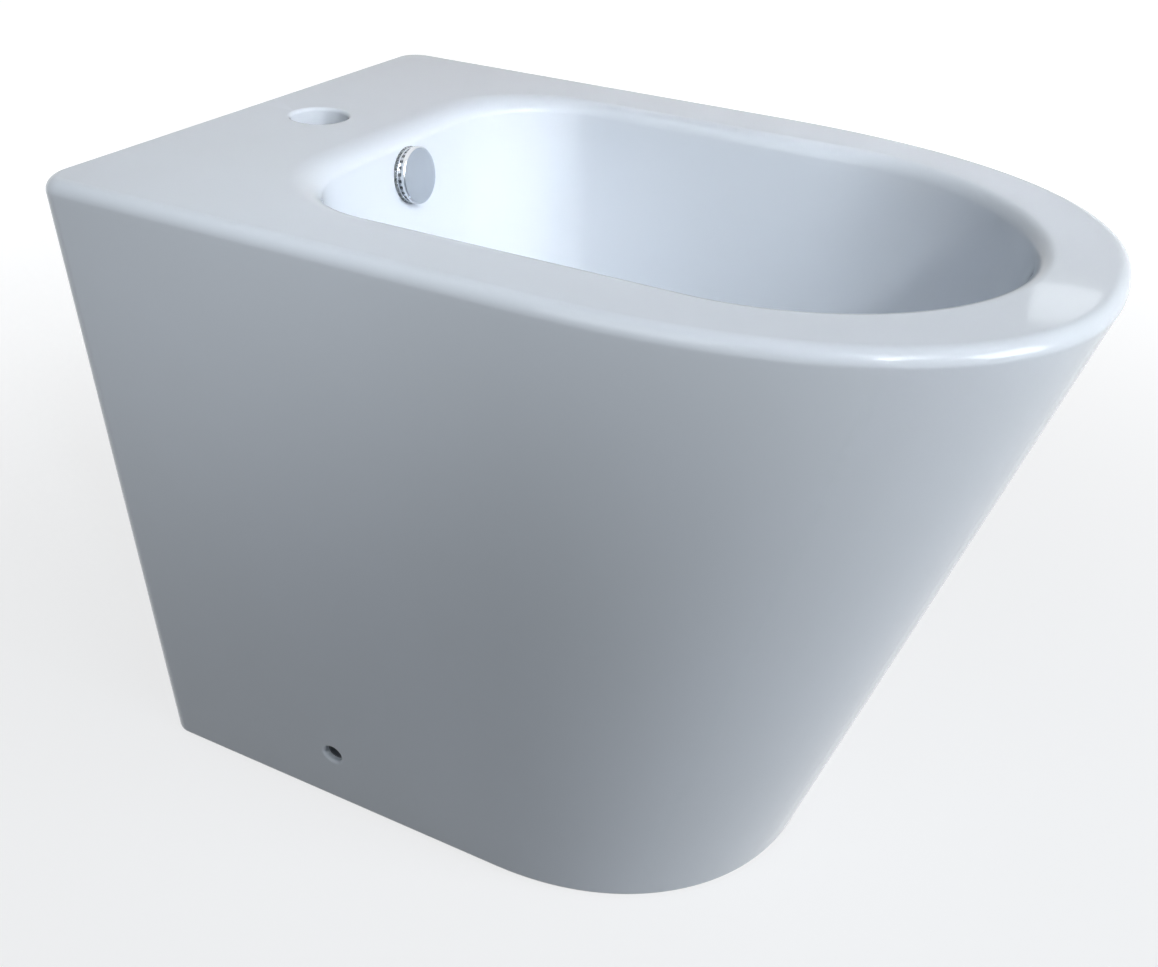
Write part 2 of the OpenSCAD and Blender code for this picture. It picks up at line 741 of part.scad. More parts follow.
module waste_bottom_seal() {
    color(rubber_look) at_waste() translate([0, 0, -waste_hole_l - bottom_seal_h])
        taper_ring(bottom_seal_r, bottom_seal_r - 3, tail_r + slip_clear, bottom_seal_h);
}

module waste_washer() {
    color(steel_look) at_waste() translate([0, 0, back_washer_z])
        tube(bottom_seal_r - 1, tail_r + slip_clear, back_washer_t);
}

module waste_nut() {
    color(brass_look) at_waste() translate([0, 0, back_nut_z])
        hex_nut(back_nut_flats, back_nut_h, tail_r + slip_clear);
}

// -------------------------------------------------------------- push plug

module cartridge_body() {
    color(plastic_look) at_waste() {
        translate([0, 0, spider_top]) difference() {
            cylinder(r = cartridge_r, h = cartridge_l + cartridge_t);
            translate([0, 0, cartridge_t]) cylinder(r = collar_r + run_clear, h = cartridge_l + 1);
        }
        translate([0, 0, spider_low - 2]) cylinder(r = stud_r, h = spider_t + 2 + eps);
    }
}

module cartridge_cap() {
    color(plastic_look) at_waste() translate([0, 0, cartridge_top])
        tube(cartridge_r, stem_r + run_clear, cartridge_cap_t);
}

// A round wire wound round the z axis from z = 0 up to h, as one skin
module click_spring() {
    mean_r = collar_r - spring_wire / 2 - 0.6;
    per_turn = 16;
    sides = 6;
    low = cartridge_low + spring_wire / 2 + 0.05;
    high = collar_low - spring_wire / 2 - 0.05;
    count = spring_turns * per_turn;
    color(steel_look) at_waste() skin([
        for (k = [0:count]) let (a = 360 * k / per_turn, z = mix(low, high, k / count)) [
            for (j = [0:sides - 1]) let (b = 360 * j / sides, r = mean_r + spring_wire / 2 * cos(b))
                [r * cos(a), r * sin(a), z + spring_wire / 2 * sin(b)]
        ]
    ]);
}

module waste_plug() {
    edge = 1.2;
    dome_r = (plug_r * plug_r + plug_dome * plug_dome) / (2 * plug_dome);
    color(chrome_look) at_waste() difference() {
        union() {
            translate([0, 0, plug_z]) rotate_extrude() {
                square([plug_r - edge, plug_t]);
                translate([0, edge]) square([plug_r, plug_t - edge]);
                translate([plug_r - edge, edge]) circle(edge);
                intersection() {
                    translate([0, plug_t - eps]) square([plug_r, plug_dome + 1]);
                    translate([0, plug_t + plug_dome - dome_r]) circle(dome_r, $fn = 360);
                }
            }
            translate([0, 0, plug_boss_z]) cylinder(r = stem_r + 3, h = plug_boss_h + eps);
        }
        translate([0, 0, plug_boss_z - 1]) cylinder(r = stem_r + run_clear, h = plug_boss_h + 1);
    }
}

module plug_seal() {
    color(rubber_look) at_waste() translate([0, 0, plug_seal_z])
        tube(plug_seal_r + plug_seal_w / 2, plug_seal_r - plug_seal_w / 2, plug_seal_h);
}

module plug_stem() {
    color(brass_look) at_waste() {
        translate([0, 0, collar_low]) cylinder(r = collar_r, h = collar_t);
        translate([0, 0, collar_low]) cylinder(r = stem_r, h = plug_z - collar_low);
    }
}

// ------------------------------------------------------------------- trap

module trap_inlet_nut() {
    low = inlet_flange_z - nut_lip;
    h = nut_lip + inlet_flange_t + inlet_washer_t + neck_h;
    color(plastic_look) at_trap() translate([0, 0, low + h]) mirror([0, 0, 1])
        ring_nut(tail_r, bore_r, h);
}

module trap_inlet_washer() {
    color(rubber_look) at_trap() translate([0, 0, tail_low_z - inlet_washer_t])
        tube(tail_r - thread_depth, pipe_r - pipe_t, inlet_washer_t);
}

module trap_inlet_tube() {
    color(plastic_look) at_trap() difference() {
        union() {
            translate([0, 0, inlet_flange_z]) cylinder(r = tail_r - thread_depth, h = inlet_flange_t);
            translate([0, 0, dip_z]) cylinder(r = pipe_r, h = inlet_flange_z - dip_z + 1);
        }
        translate([0, 0, dip_z - 1]) cylinder(r = pipe_r - pipe_t, h = inlet_flange_z + inlet_flange_t - dip_z + 2);
    }
}

module trap_top_nut() {
    color(plastic_look) at_trap() translate([0, 0, head_top_z + 0.5])
        ring_nut(neck_r, bore_r, neck_h + olive_h + nut_lip - 0.5);
}

module trap_top_seal() {
    color(rubber_look) at_trap() translate([0, 0, head_top_z + neck_h])
        taper_ring(neck_r - 0.3, neck_r - 1.3, bore_r, olive_h);
}

// The trap's outlet points at the wall, along +Y
module at_outlet(along) {
    at_trap() translate([0, along, outlet_z]) rotate([-90, 0, 0]) children();
}

module trap_head() {
    color(plastic_look) difference() {
        union() {
            at_trap() translate([0, 0, head_low_z]) cylinder(r = head_r, h = head_top_z - head_low_z);
            at_trap() translate([0, 0, head_top_z - eps]) cylinder(r = neck_r, h = neck_h + eps);
            at_outlet(pipe_r) cylinder(r = neck_r, h = branch_l - pipe_r);
        }
        at_trap() translate([0, 0, head_low_z - 1]) cylinder(r = head_bore_r, h = head_top_z - head_low_z - trap_t + 1);
        at_trap() translate([0, 0, head_low_z - 1]) cylinder(r = bore_r, h = head_top_z + neck_h - head_low_z + 2);
        at_outlet(pipe_r) cylinder(r = pipe_r - pipe_t, h = branch_l);
        at_outlet(branch_l - socket_l) cylinder(r = bore_r, h = socket_l + 1);
    }
}

module trap_cup() {
    top = head_low_z + cup_collar_h;
    shelf = head_low_z - cup_seal_t;
    body_r = head_r - 1;
    turn = 8;
    rib_w = 3;
    rib_h = 1;
    color(plastic_look) at_trap() difference() {
        union() {
            rotate_extrude() polygon([
                [0, cup_floor_z], [body_r - turn, cup_floor_z],
                [body_r - turn * 0.3, cup_floor_z + turn * 0.3], [body_r, cup_floor_z + turn],
                [body_r, shelf - trap_t], [cup_r, shelf], [cup_r, top], [0, top],
            ]);
            for (i = [0:nut_ribs - 1])
                rotate(360 * i / nut_ribs) translate([cup_r - rib_h, -rib_w / 2, shelf])
                    cube([2 * rib_h, rib_w, top - shelf - 2]);
        }
        translate([0, 0, shelf]) cylinder(r = head_r + slip_clear, h = top - shelf + 1);
        translate([0, 0, cup_floor_z + turn])
            cylinder(r = body_r - trap_t, h = shelf - cup_floor_z - turn + 1);
        translate([0, 0, cup_floor_z + trap_t])
            cylinder(r1 = body_r - turn, r2 = body_r - trap_t, h = turn - trap_t + eps);
    }
}

module trap_cup_seal() {
    color(rubber_look) at_trap() translate([0, 0, head_low_z - cup_seal_t])
        tube(head_r - 0.2, cup_seal_in, cup_seal_t);
}

module trap_outlet_nut() {
    color(plastic_look) at_outlet(branch_l - neck_h + 0.5)
        ring_nut(neck_r, bore_r, neck_h + olive_h + nut_lip - 0.5);
}

module trap_outlet_seal() {
    color(rubber_look) at_outlet(branch_l) taper_ring(neck_r - 0.3, neck_r - 1.3, bore_r, olive_h);
}

module trap_outlet_pipe() {
    start = branch_l - socket_l + pipe_gap;
    pipe_l = wall_y - outlet_gap - waste_y - start;
    mark_w = 1.5;
    color(plastic_look) at_outlet(start) difference() {
        tube(pipe_r, pipe_r - pipe_t, pipe_l);
        translate([0, 0, pipe_l - spigot_l - mark_w]) tube(pipe_r + 1, pipe_r - mark_depth, mark_w);
    }
}

// ----------------------------------------------------------- side fixings

module floor_bracket(side) {
    high = side_hole_z + bracket_over;
    bend = 2 * bracket_t;
    color(steel_look) difference() {
        translate([0, side_hole_y + bracket_w / 2, 0]) rotate([90, 0, 0]) linear_extrude(bracket_w)
            scale([side, 1]) difference() {
                union() {
                    translate([bracket_x - bracket_foot, 0]) square([bracket_foot - bend, bracket_t]);
                    translate([upright_x, bend]) square([bracket_t, high - bend]);
                    intersection() {
                        translate([bracket_x - bend - eps, 0]) square([bend + eps, bend + eps]);
                        translate([bracket_x - bend, bend]) circle(bend);
                    }
                }
                translate([bracket_x - bend, bend]) circle(bend - bracket_t);
            }
        at_side(side) cylinder(r = screw_bore_r, h = bracket_x + 1);
        translate([side * floor_hole_x, side_hole_y, -1]) cylinder(r = floor_hole_r, h = bracket_t + 2);
    }
}

module side_sleeve(side) {
    color(rubber_look) at_side(side) difference() {
        translate([0, 0, bracket_x]) cylinder(r = sleeve_r, h = sleeve_x - bracket_x);
        translate([0, 0, sleeve_floor_x]) cylinder(r = sleeve_r - sleeve_t, h = sleeve_mouth + 1);
        translate([0, 0, bracket_x - 1]) cylinder(r = screw_bore_r, h = sleeve_x - bracket_x + 2);
    }
}

module side_screw(side) {
    tip_x = upright_x - screw_nut_h - screw_tip;
    socket_d = screw_head_h * 0.6;
    color(steel_look) at_side(side) difference() {
        union() {
            translate([0, 0, sleeve_floor_x]) cylinder(r = screw_head_r, h = screw_head_h);
            translate([0, 0, tip_x]) cylinder(r = screw_r, h = sleeve_floor_x - tip_x + eps);
        }
        translate([0, 0, sleeve_floor_x + screw_head_h - socket_d])
            cylinder(r = screw_head_r * 0.5, h = socket_d + 1, $fn = 6);
    }
}

module side_nut(side) {
    color(steel_look) at_side(side) translate([0, 0, upright_x - screw_nut_h])
        hex_nut(screw_nut_flats, screw_nut_h, screw_bore_r);
}

ceramic_body();
overflow_seal();
overflow_ring();
overflow_cap();
waste_flange();
waste_top_seal();
waste_bottom_seal();
waste_washer();
waste_nut();
cartridge_body();
cartridge_cap();
click_spring();
waste_plug();
plug_seal();
plug_stem();
trap_inlet_nut();
trap_inlet_washer();
trap_inlet_tube();
trap_top_nut();
trap_top_seal();
trap_head();
trap_cup();
trap_cup_seal();
trap_outlet_nut();
trap_outlet_seal();
trap_outlet_pipe();
floor_bracket(-1);  // floor_bracket_left
floor_bracket(1);  // floor_bracket_right
side_sleeve(-1);  // side_sleeve_left
side_sleeve(1);  // side_sleeve_right
side_screw(-1);  // side_screw_left
side_screw(1);  // side_screw_right
side_nut(-1);  // side_nut_left
side_nut(1);  // side_nut_right
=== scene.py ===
# %% [markdown]
# # A floor standing bidet in glazed china
#
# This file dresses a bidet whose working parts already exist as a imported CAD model. The frame is loaded
# first and never moved. Each later cell makes one piece or one finish, and the text before it says what the
# real thing is, how else it could be made, and why this way was chosen.
#
# Sizes are millimetres, as on a maker's drawing. One factor, MM, turns them into Blender's metres. The floor
# is z = 0, the wall stands behind the back face at +Y, and the rounded front looks towards -Y.

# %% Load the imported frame
import json
import math

import bmesh
import bpy
from mathutils import Matrix, Vector

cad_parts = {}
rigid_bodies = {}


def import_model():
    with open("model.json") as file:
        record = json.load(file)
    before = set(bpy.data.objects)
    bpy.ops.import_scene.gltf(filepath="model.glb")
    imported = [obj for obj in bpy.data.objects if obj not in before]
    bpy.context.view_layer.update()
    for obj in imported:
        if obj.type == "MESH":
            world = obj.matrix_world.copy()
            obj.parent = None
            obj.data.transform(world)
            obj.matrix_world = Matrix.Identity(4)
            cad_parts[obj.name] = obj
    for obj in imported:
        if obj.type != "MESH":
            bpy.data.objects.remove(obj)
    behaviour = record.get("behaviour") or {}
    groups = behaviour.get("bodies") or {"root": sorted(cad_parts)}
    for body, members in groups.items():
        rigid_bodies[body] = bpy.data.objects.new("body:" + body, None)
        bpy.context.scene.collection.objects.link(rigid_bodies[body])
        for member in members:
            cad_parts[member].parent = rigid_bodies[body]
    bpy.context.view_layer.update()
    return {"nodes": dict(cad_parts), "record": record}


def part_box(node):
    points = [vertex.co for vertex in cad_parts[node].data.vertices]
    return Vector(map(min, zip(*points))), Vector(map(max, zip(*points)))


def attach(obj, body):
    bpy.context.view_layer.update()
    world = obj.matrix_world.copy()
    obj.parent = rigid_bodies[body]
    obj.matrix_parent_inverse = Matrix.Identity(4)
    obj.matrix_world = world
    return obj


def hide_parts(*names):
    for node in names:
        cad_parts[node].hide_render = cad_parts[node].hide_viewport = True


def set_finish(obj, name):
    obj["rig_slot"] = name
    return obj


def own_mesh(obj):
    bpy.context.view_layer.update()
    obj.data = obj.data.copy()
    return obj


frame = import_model()
print("nodes in the frame:", len(frame["nodes"]))

# %% [markdown]
# ## Where the camera stood
#
# A product photo is easier to match when the camera comes first. This one was solved from straight lines and
# round edges of the object: the place, the aim, a small roll, and a lens of about 39 mm on a 36 mm sensor.
# The roll is turned in around the line of sight, after the camera has been aimed.

# %% Camera
MM = 0.001
CAMERA_AT = (-629.4, -266.9, 626.9)
CAMERA_AIM = (81.9, 61.1, 147.7)
CAMERA_ROLL = 3.35
CAMERA_LENS = 39.1
CAMERA_SENSOR = 36
CLIP_START = 10


def add_camera():
    data = bpy.data.cameras.new("photo_camera")
    data.sensor_width = CAMERA_SENSOR
    data.lens = CAMERA_LENS
    data.clip_start = CLIP_START * MM
    camera = bpy.data.objects.new("photo_camera", data)
    bpy.context.scene.collection.objects.link(camera)
    place = Vector(CAMERA_AT) * MM
    aim = Vector(CAMERA_AIM) * MM - place
    turn = aim.to_track_quat("-Z", "Y").to_matrix().to_4x4()
    roll = Matrix.Rotation(math.radians(CAMERA_ROLL), 4, "Z")
    camera.matrix_world = Matrix.Translation(place) @ turn @ roll
    bpy.context.scene.camera = camera


add_camera()
print("camera lens:", CAMERA_LENS, "mm")

# %% [markdown]
# ## Sizes of the china body
#
# These are the driving sizes of the drawing. An outline seen from above is a tuple of six numbers: half
# width, back, nose, the end of the straight sides, the squareness of the nose and the corner radius. The
# back, the nose and the end of the sides are distances from the wall, as a plumber measures them.

# %% Driving sizes
low_corner, high_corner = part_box("ceramic_body")
BODY_W = round((high_corner.x - low_corner.x) / MM, 1)
BODY_H = round(high_corner.z / MM, 1)
WALL_Y = round(high_corner.y / MM, 1)
BODY_L = round((high_corner.y - low_corner.y) / MM, 1)
CORNER_R = 14
RIM_EDGE_R = 7.5
BACK_EDGE_RUN = 4
FOOT_EDGE_R = 4
RIM = (BODY_W / 2, 0, BODY_L, 279, 2.33, CORNER_R)
FOOT = (144.5, 0, 417, 261, 2.14, CORNER_R)
MOUTH = (BODY_W / 2 - 43, 93, BODY_L - 36, 347, 1.95, 75)
FLOOR = (72, 160, 395, 300, 2, 60)
BOWL_EDGE_R = 10
BOWL_EDGE_RUN = 19
BOWL_EDGE_TURN = 82
BOWL_FLOOR_Z = BODY_H - 148
BOWL_TURN = 2.6
BOWL_LEAN = 0.4
SHELL = 11
DECK_UNDER_Z = BODY_H - 14
WASTE_BACK = 215
WASTE_Y = WALL_Y - WASTE_BACK
SEAT_Z = BOWL_FLOOR_Z - 8
SEAT_R = 36
BOSS_Z = SEAT_Z - 40
WASTE_HOLE_R = 22.5
BOSS_R = WASTE_HOLE_R + 14
print("china body:", BODY_W, "x", BODY_L, "x", BODY_H, "mm")

# %% [markdown]
# ## Rings
#
# The body is a skin over a stack of closed rings, like hoops in a barrel. Sculpting or a subdivision cage
# would also give a soft form, but rings from a formula keep the real curves exactly, at any density. Every
# ring has the same number of points, so neighbouring rings join point by point, and the straight stretches
# stay truly flat.

# %% Ring points
BACK_STEPS = 10
CORNER_STEPS = 14
SIDE_STEPS = 14
NOSE_STEPS = 144


def mix(a, b, t):
    """A blend of two outlines, number by number."""
    return tuple(p * (1 - t) + q * t for p, q in zip(a, b))


def smoothstep(low, high, value):
    t = min(max((value - low) / (high - low), 0), 1)
    return t * t * (3 - 2 * t)


def bent(c, power):
    return math.copysign(abs(c) ** (2 / power), c)


def circle_outline(r):
    """A circle round the waste, written as an outline with almost no straight sides."""
    straight = 0.25
    return (r, WASTE_BACK - r, WASTE_BACK + r, WASTE_BACK + straight, 2, r - straight)


def grown(outline, g):
    half_w, back, nose, straight, power, corner = outline
    return (half_w + g, back - g, nose + g, straight, power, max(corner + g, 2))


def half_ring(outline):
    """Points from the middle of the back to the tip of the nose, on the +X side."""
    half_w, back, nose, straight, power, corner = outline
    points = [((half_w - corner) * i / BACK_STEPS, back) for i in range(BACK_STEPS)]
    for i in range(CORNER_STEPS + 1):
        g = math.pi / 2 * i / CORNER_STEPS
        points.append((half_w - corner * (1 - math.sin(g)), back + corner * (1 - math.cos(g))))
    for i in range(1, SIDE_STEPS):
        points.append((half_w, back + corner + (straight - back - corner) * i / SIDE_STEPS))
    for i in range(NOSE_STEPS // 2 + 1):
        g = math.pi * i / NOSE_STEPS
        across, along = bent(math.cos(g), power), bent(math.sin(g), power)
        points.append((half_w * across, straight + (nose - straight) * along))
    return points


def ring(outline, z):
    half = half_ring(outline)
    half[-1] = (0.0, half[-1][1])
    loop = half + [(-x, d) for x, d in half[-2:0:-1]]
    return [Vector((x, WALL_Y - d, z)) for x, d in loop]


print("points in a ring:", len(ring(RIM, 0)))

# %% [markdown]
# ## The bowl and its rolled edge
#
# Slip-cast china has no sharp corners: the glaze would run off them and leave them thin. So the land rolls
# over into the bowl by a quarter round, softer at the back than at the sides, and the wall then leans in and
# turns into the floor on one continuous curve. The floor falls to a pressed seat for the waste.

# %% Levels of the bowl
EDGE_LEVELS = 14
WALL_LEVELS = 44
FLOOR_LEVELS = 12


def edge_outline(turn):
    roll = BOWL_EDGE_R * math.sin(turn)
    half_w, back, nose, straight, power, corner = MOUTH
    return (half_w - roll, back + BOWL_EDGE_RUN * math.sin(turn), nose - roll, straight, power, corner - roll)


def edge_z(turn):
    return BODY_H - BOWL_EDGE_R * (1 - math.cos(turn))


WALL_TOP = edge_outline(math.radians(BOWL_EDGE_TURN))
WALL_TOP_Z = edge_z(math.radians(BOWL_EDGE_TURN))


def turn_down(turn):
    return abs(math.sin(turn)) ** (2 / BOWL_TURN)


def turn_in(turn):
    return BOWL_LEAN * turn_down(turn) + (1 - BOWL_LEAN) * (1 - abs(math.cos(turn)) ** (2 / BOWL_TURN))


def wall_ring(turn):
    down = turn_down(turn)
    return ring(mix(WALL_TOP, FLOOR, turn_in(turn)), WALL_TOP_Z * (1 - down) + BOWL_FLOOR_Z * down)


def floor_ring(t):
    """Between the bowl's floor edge (0) and the flat seat of the waste (1), by an eased fall."""
    fall = 0.5 * t + 0.5 * smoothstep(0, 1, t)
    z = BOWL_FLOOR_Z + (SEAT_Z - BOWL_FLOOR_Z) * fall
    outer = ring(FLOOR, BOWL_FLOOR_Z)
    inner = ring(circle_outline(SEAT_R), SEAT_Z)
    return [Vector((*a.xy.lerp(b.xy, t), z)) for a, b in zip(outer, inner)]


print("bowl's wall runs from z =", round(WALL_TOP_Z, 1), "to", BOWL_FLOOR_Z)

# %% [markdown]
# ## The overflow's seat
#
# A mirror disc seals only on a flat face, so the mould has a flat pressed into the leaning back wall. Here
# the wall's own points are eased onto that plane near the disc, and fade back to the free curve around it.

# %% Seat of the overflow
OVERFLOW_DROP = 25
SEAT_TURN = math.radians(14)
SEAT_FLAT_R = 19
SEAT_FADE_R = 32
OVERFLOW_Z = BODY_H - OVERFLOW_DROP
seat_low_back = mix(WALL_TOP, FLOOR, turn_in(SEAT_TURN))[1]
seat_low_z = WALL_TOP_Z + (BOWL_FLOOR_Z - WALL_TOP_Z) * turn_down(SEAT_TURN)
SEAT_SLOPE = (seat_low_back - WALL_TOP[1]) / (WALL_TOP_Z - seat_low_z)
OVERFLOW_TILT = math.atan(SEAT_SLOPE)
OVERFLOW_BACK = WALL_TOP[1] + (WALL_TOP_Z - OVERFLOW_Z) * SEAT_SLOPE


def seated(loop):
    """A ring of the wall, eased onto the flat seat of the overflow."""
    for p in loop:
        rise = p.z - OVERFLOW_Z
        if p.y < 0 or abs(p.x) > SEAT_FADE_R:
            continue
        hold = 1 - smoothstep(SEAT_FLAT_R, SEAT_FADE_R, math.hypot(p.x, rise / math.cos(OVERFLOW_TILT)))
        p.y += hold * (WALL_Y - OVERFLOW_BACK + rise * SEAT_SLOPE - p.y)
    return loop


print("overflow leans back by", round(math.degrees(OVERFLOW_TILT), 2), "degrees")

# %% [markdown]
# ## One fired piece, level by level
#
# The whole casting is one closed skin that starts in the waste hole, climbs the bowl, rolls over the rim,
# falls down the skirt, turns in under the foot and comes back up inside to the boss of the waste. A real
# casting has that inside too: plaster moulds leave a wall of about 11 mm everywhere, thicker at the foot.
# The levels lie close together where the form turns, and far apart where it runs straight.

# %% Levels of the bowl and the rim
HOLE_EASE = 1.5
EASE_LEVELS = 4
RIM_LEVELS = 12
HOLD_SHARE = 0.015


def between(a, b, t):
    """A ring on the straight lines from ring a to ring b."""
    return [p.lerp(q, t) for p, q in zip(a, b)]


def quarter(levels):
    return [math.pi / 2 * i / levels for i in range(levels + 1)]


def hole_levels():
    loops = [ring(circle_outline(WASTE_HOLE_R), BOSS_Z + 1)]
    for g in quarter(EASE_LEVELS):
        r = WASTE_HOLE_R + HOLE_EASE * (1 - math.cos(g))
        loops.append(ring(circle_outline(r), SEAT_Z - HOLE_EASE * (1 - math.sin(g))))
    return loops


def bowl_levels():
    loops = [floor_ring(1 - i / FLOOR_LEVELS) for i in range(FLOOR_LEVELS)]
    for i in range(WALL_LEVELS, 0, -1):
        share = i / WALL_LEVELS
        loops.append(seated(wall_ring(math.pi / 2 * share * (0.5 + 0.5 * share))))
    for i in range(EDGE_LEVELS, -1, -1):
        turn = math.radians(BOWL_EDGE_TURN) * i / EDGE_LEVELS
        loops.append(ring(edge_outline(turn), edge_z(turn)))
    return loops


def rim_outline(turn):
    inset = RIM_EDGE_R * (1 - math.sin(turn))
    half_w, back, nose, straight, power, corner = RIM
    return (half_w - inset, BACK_EDGE_RUN * (1 - math.sin(turn)), nose - inset, straight, power, corner)


def rim_levels():
    inner = ring(edge_outline(0), BODY_H)
    outer = ring(rim_outline(0), BODY_H)
    land = [between(inner, outer, t) for t in (HOLD_SHARE, 0.5, 1 - HOLD_SHARE)]
    return land + [ring(rim_outline(g), BODY_H - RIM_EDGE_R * (1 - math.cos(g))) for g in quarter(RIM_LEVELS)]


print("levels of the bowl:", len(hole_levels()) + len(bowl_levels()), "and of the rim:", len(rim_levels()))

# %% [markdown]
# The skirt is a ruled surface: straight lines run from the rim down to the smaller foot, so its side is flat
# and its front sweeps in. Under the foot and inside, the casting is left bare, so those levels are kept
# apart and take another finish later.

# %% Levels of the skirt, the foot and the inside
SKIRT_LEVELS = 22
FOOT_LEVELS = 6
FOOT_LAND = 20
FOOT_LAND_H = 12
FOOT_TAPER_H = 28
INSIDE_R = 8
INSIDE_LEVELS = 6
UNDER_LEVELS = 18
RIM_LOW_Z = BODY_H - RIM_EDGE_R


def skirt_outline(z):
    return mix(FOOT, RIM, z / RIM_LOW_Z)


def skirt_levels():
    top = ring(RIM, RIM_LOW_Z)
    low = ring(FOOT, FOOT_EDGE_R)
    shares = [HOLD_SHARE / 4] + [i / SKIRT_LEVELS for i in range(1, SKIRT_LEVELS)] + [1 - HOLD_SHARE / 4]
    return [between(top, low, t) for t in shares]


def foot_levels():
    return [
        ring(grown(FOOT, -FOOT_EDGE_R * (1 - math.cos(g))), FOOT_EDGE_R * (1 - math.sin(g)))
        for g in quarter(FOOT_LEVELS)
    ]


def inside_levels():
    loops = [
        ring(grown(FOOT, 1 - FOOT_LAND), 0),
        ring(grown(FOOT, -FOOT_LAND), 1),
        ring(grown(FOOT, -FOOT_LAND), FOOT_LAND_H),
    ]
    for i in range(INSIDE_LEVELS + 1):
        z = FOOT_TAPER_H + (DECK_UNDER_Z - INSIDE_R - FOOT_TAPER_H) * i / INSIDE_LEVELS
        loops.append(ring(grown(skirt_outline(z), -SHELL), z))
    for g in quarter(EASE_LEVELS)[1:]:
        outline = grown(skirt_outline(DECK_UNDER_Z), -SHELL - INSIDE_R * (1 - math.cos(g)))
        loops.append(ring(outline, DECK_UNDER_Z - INSIDE_R * (1 - math.sin(g))))
    return loops


def under_levels():
    top, floor = grown(WALL_TOP, SHELL), grown(FLOOR, SHELL)
    loops = []
    for g in quarter(UNDER_LEVELS):
        down = turn_down(g)
        z = DECK_UNDER_Z * (1 - down) + (BOWL_FLOOR_Z - SHELL) * down
        loops.append(ring(mix(top, floor, turn_in(g)), z))
    loops.append(ring(circle_outline(BOSS_R), SEAT_Z - SHELL))
    loops.append(ring(circle_outline(BOSS_R), BOSS_Z + 1))
    loops.append(ring(circle_outline(BOSS_R - 1), BOSS_Z))
    loops.append(ring(circle_outline(WASTE_HOLE_R + 1), BOSS_Z))
    return loops


print("levels of the skirt and foot:", len(skirt_levels()) + len(foot_levels()))

# %% [markdown]
# ## Joining loops into a mesh
#
# One helper turns any stack of loops into a closed mesh. The china body wraps round from its last loop to
# its first like a tyre. A turned piece on the axis ends in a single point, and a cutter ends in flat lids.

# %% Stack of loops
def finish_normals(mesh):
    work = bmesh.new()
    work.from_mesh(mesh)
    bmesh.ops.recalc_face_normals(work, faces=work.faces)
    work.to_mesh(mesh)
    work.free()


def stack(name, loops, wrap=False, place=Matrix()):
    """A closed mesh through a stack of loops in mm, put in place by a matrix in metres."""
    points, starts = [], []
    for loop in loops:
        starts.append(len(points))
        points += [p * MM for p in loop]
    faces = []
    for a in range(len(loops) if wrap else len(loops) - 1):
        b = (a + 1) % len(loops)
        count = max(len(loops[a]), len(loops[b]))
        for j in range(count):
            n = (j + 1) % count
            corners = [starts[k] + i % len(loops[k]) for k, i in ((a, j), (a, n), (b, n), (b, j))]
            faces.append(list(dict.fromkeys(corners)))
    if not wrap:
        for start, loop in ((starts[0], loops[0]), (starts[-1], loops[-1])):
            if len(loop) > 2:
                faces.append(range(start, start + len(loop)))
    mesh = bpy.data.meshes.new(name)
    mesh.from_pydata(points, [], faces)
    finish_normals(mesh)
    piece = bpy.data.objects.new(name, mesh)
    bpy.context.scene.collection.objects.link(piece)
    piece.matrix_world = place
    return piece


print("meshes join rings of", len(ring(FOOT, 0)), "points")

# %% [markdown]
# The body's faces carry two finishes: 0 is glazed and 1 is bare china. The glaze is wiped off the foot
# before firing, because a glazed foot would stick to the kiln shelf.

# %% China body as one skin
GLAZED, BARE = 0, 1


def china_skin():
    glazed = hole_levels() + bowl_levels() + rim_levels() + skirt_levels() + foot_levels()
    bare = inside_levels() + under_levels()
    body = stack("china_body", glazed + bare, wrap=True)
    per_level = len(glazed[0])
    first_bare = (len(glazed) - 1) * per_level
    marks = [GLAZED if i < first_bare else BARE for i in range(len(body.data.polygons))]
    for name in ("glaze", "bare_china"):
        body.data.materials.append(bpy.data.materials.get(name) or bpy.data.materials.new(name))
    body.data.polygons.foreach_set("material_index", marks)
    return body


china = china_skin()
print("china body:", len(china.data.polygons), "faces before the holes are cut")

# %% [markdown]
# ## Outlines with rounded corners
#
# Most other pieces, and some of the cutters, are turned: an outline of radius and height is spun round an
# axis. A corner is written as (radius, height, rounding), as on a lathe drawing, so no edge comes out sharp
# unless the drawing says so.

# %% Turned outlines
ARC_STEPS = 5
AXIS_R = 1e-6


def rounded(corners, closed=True):
    """The points of an outline whose corners are (radius, height) or (radius, height, rounding)."""
    points = []
    for i, (r, z, *rounding) in enumerate(corners):
        here = Vector((r, z))
        if not rounding or (not closed and i in (0, len(corners) - 1)):
            points.append(here)
            continue
        back = (Vector(corners[i - 1][:2]) - here).normalized()
        on = (Vector(corners[(i + 1) % len(corners)][:2]) - here).normalized()
        half = back.angle(on) / 2
        centre = here + (back + on).normalized() * rounding[0] / math.sin(half)
        start = here + back * rounding[0] / math.tan(half) - centre
        sweep = math.pi - 2 * half
        end = here + on * rounding[0] / math.tan(half) - centre
        side = (end - start * math.cos(sweep)) / math.sin(sweep)
        for k in range(ARC_STEPS + 1):
            g = sweep * k / ARC_STEPS
            points.append(centre + start * math.cos(g) + side * math.sin(g))
    return points


def lathe(name, outline, place=Matrix(), steps=96, shape=None):
    """A turned piece. shape(angle, radius, height) may change a radius, for ribs, flats or a thread."""
    loops = []
    for r, z in outline:
        if r < AXIS_R:
            loops.append([Vector((0, 0, z))])
            continue
        loop = []
        for j in range(steps):
            g = math.tau * j / steps
            away = shape(g, r, z) if shape else r
            loop.append(Vector((away * math.cos(g), away * math.sin(g), z)))
        loops.append(loop)
    return stack(name, loops, wrap=outline[0][0] > AXIS_R and outline[-1][0] > AXIS_R, place=place)


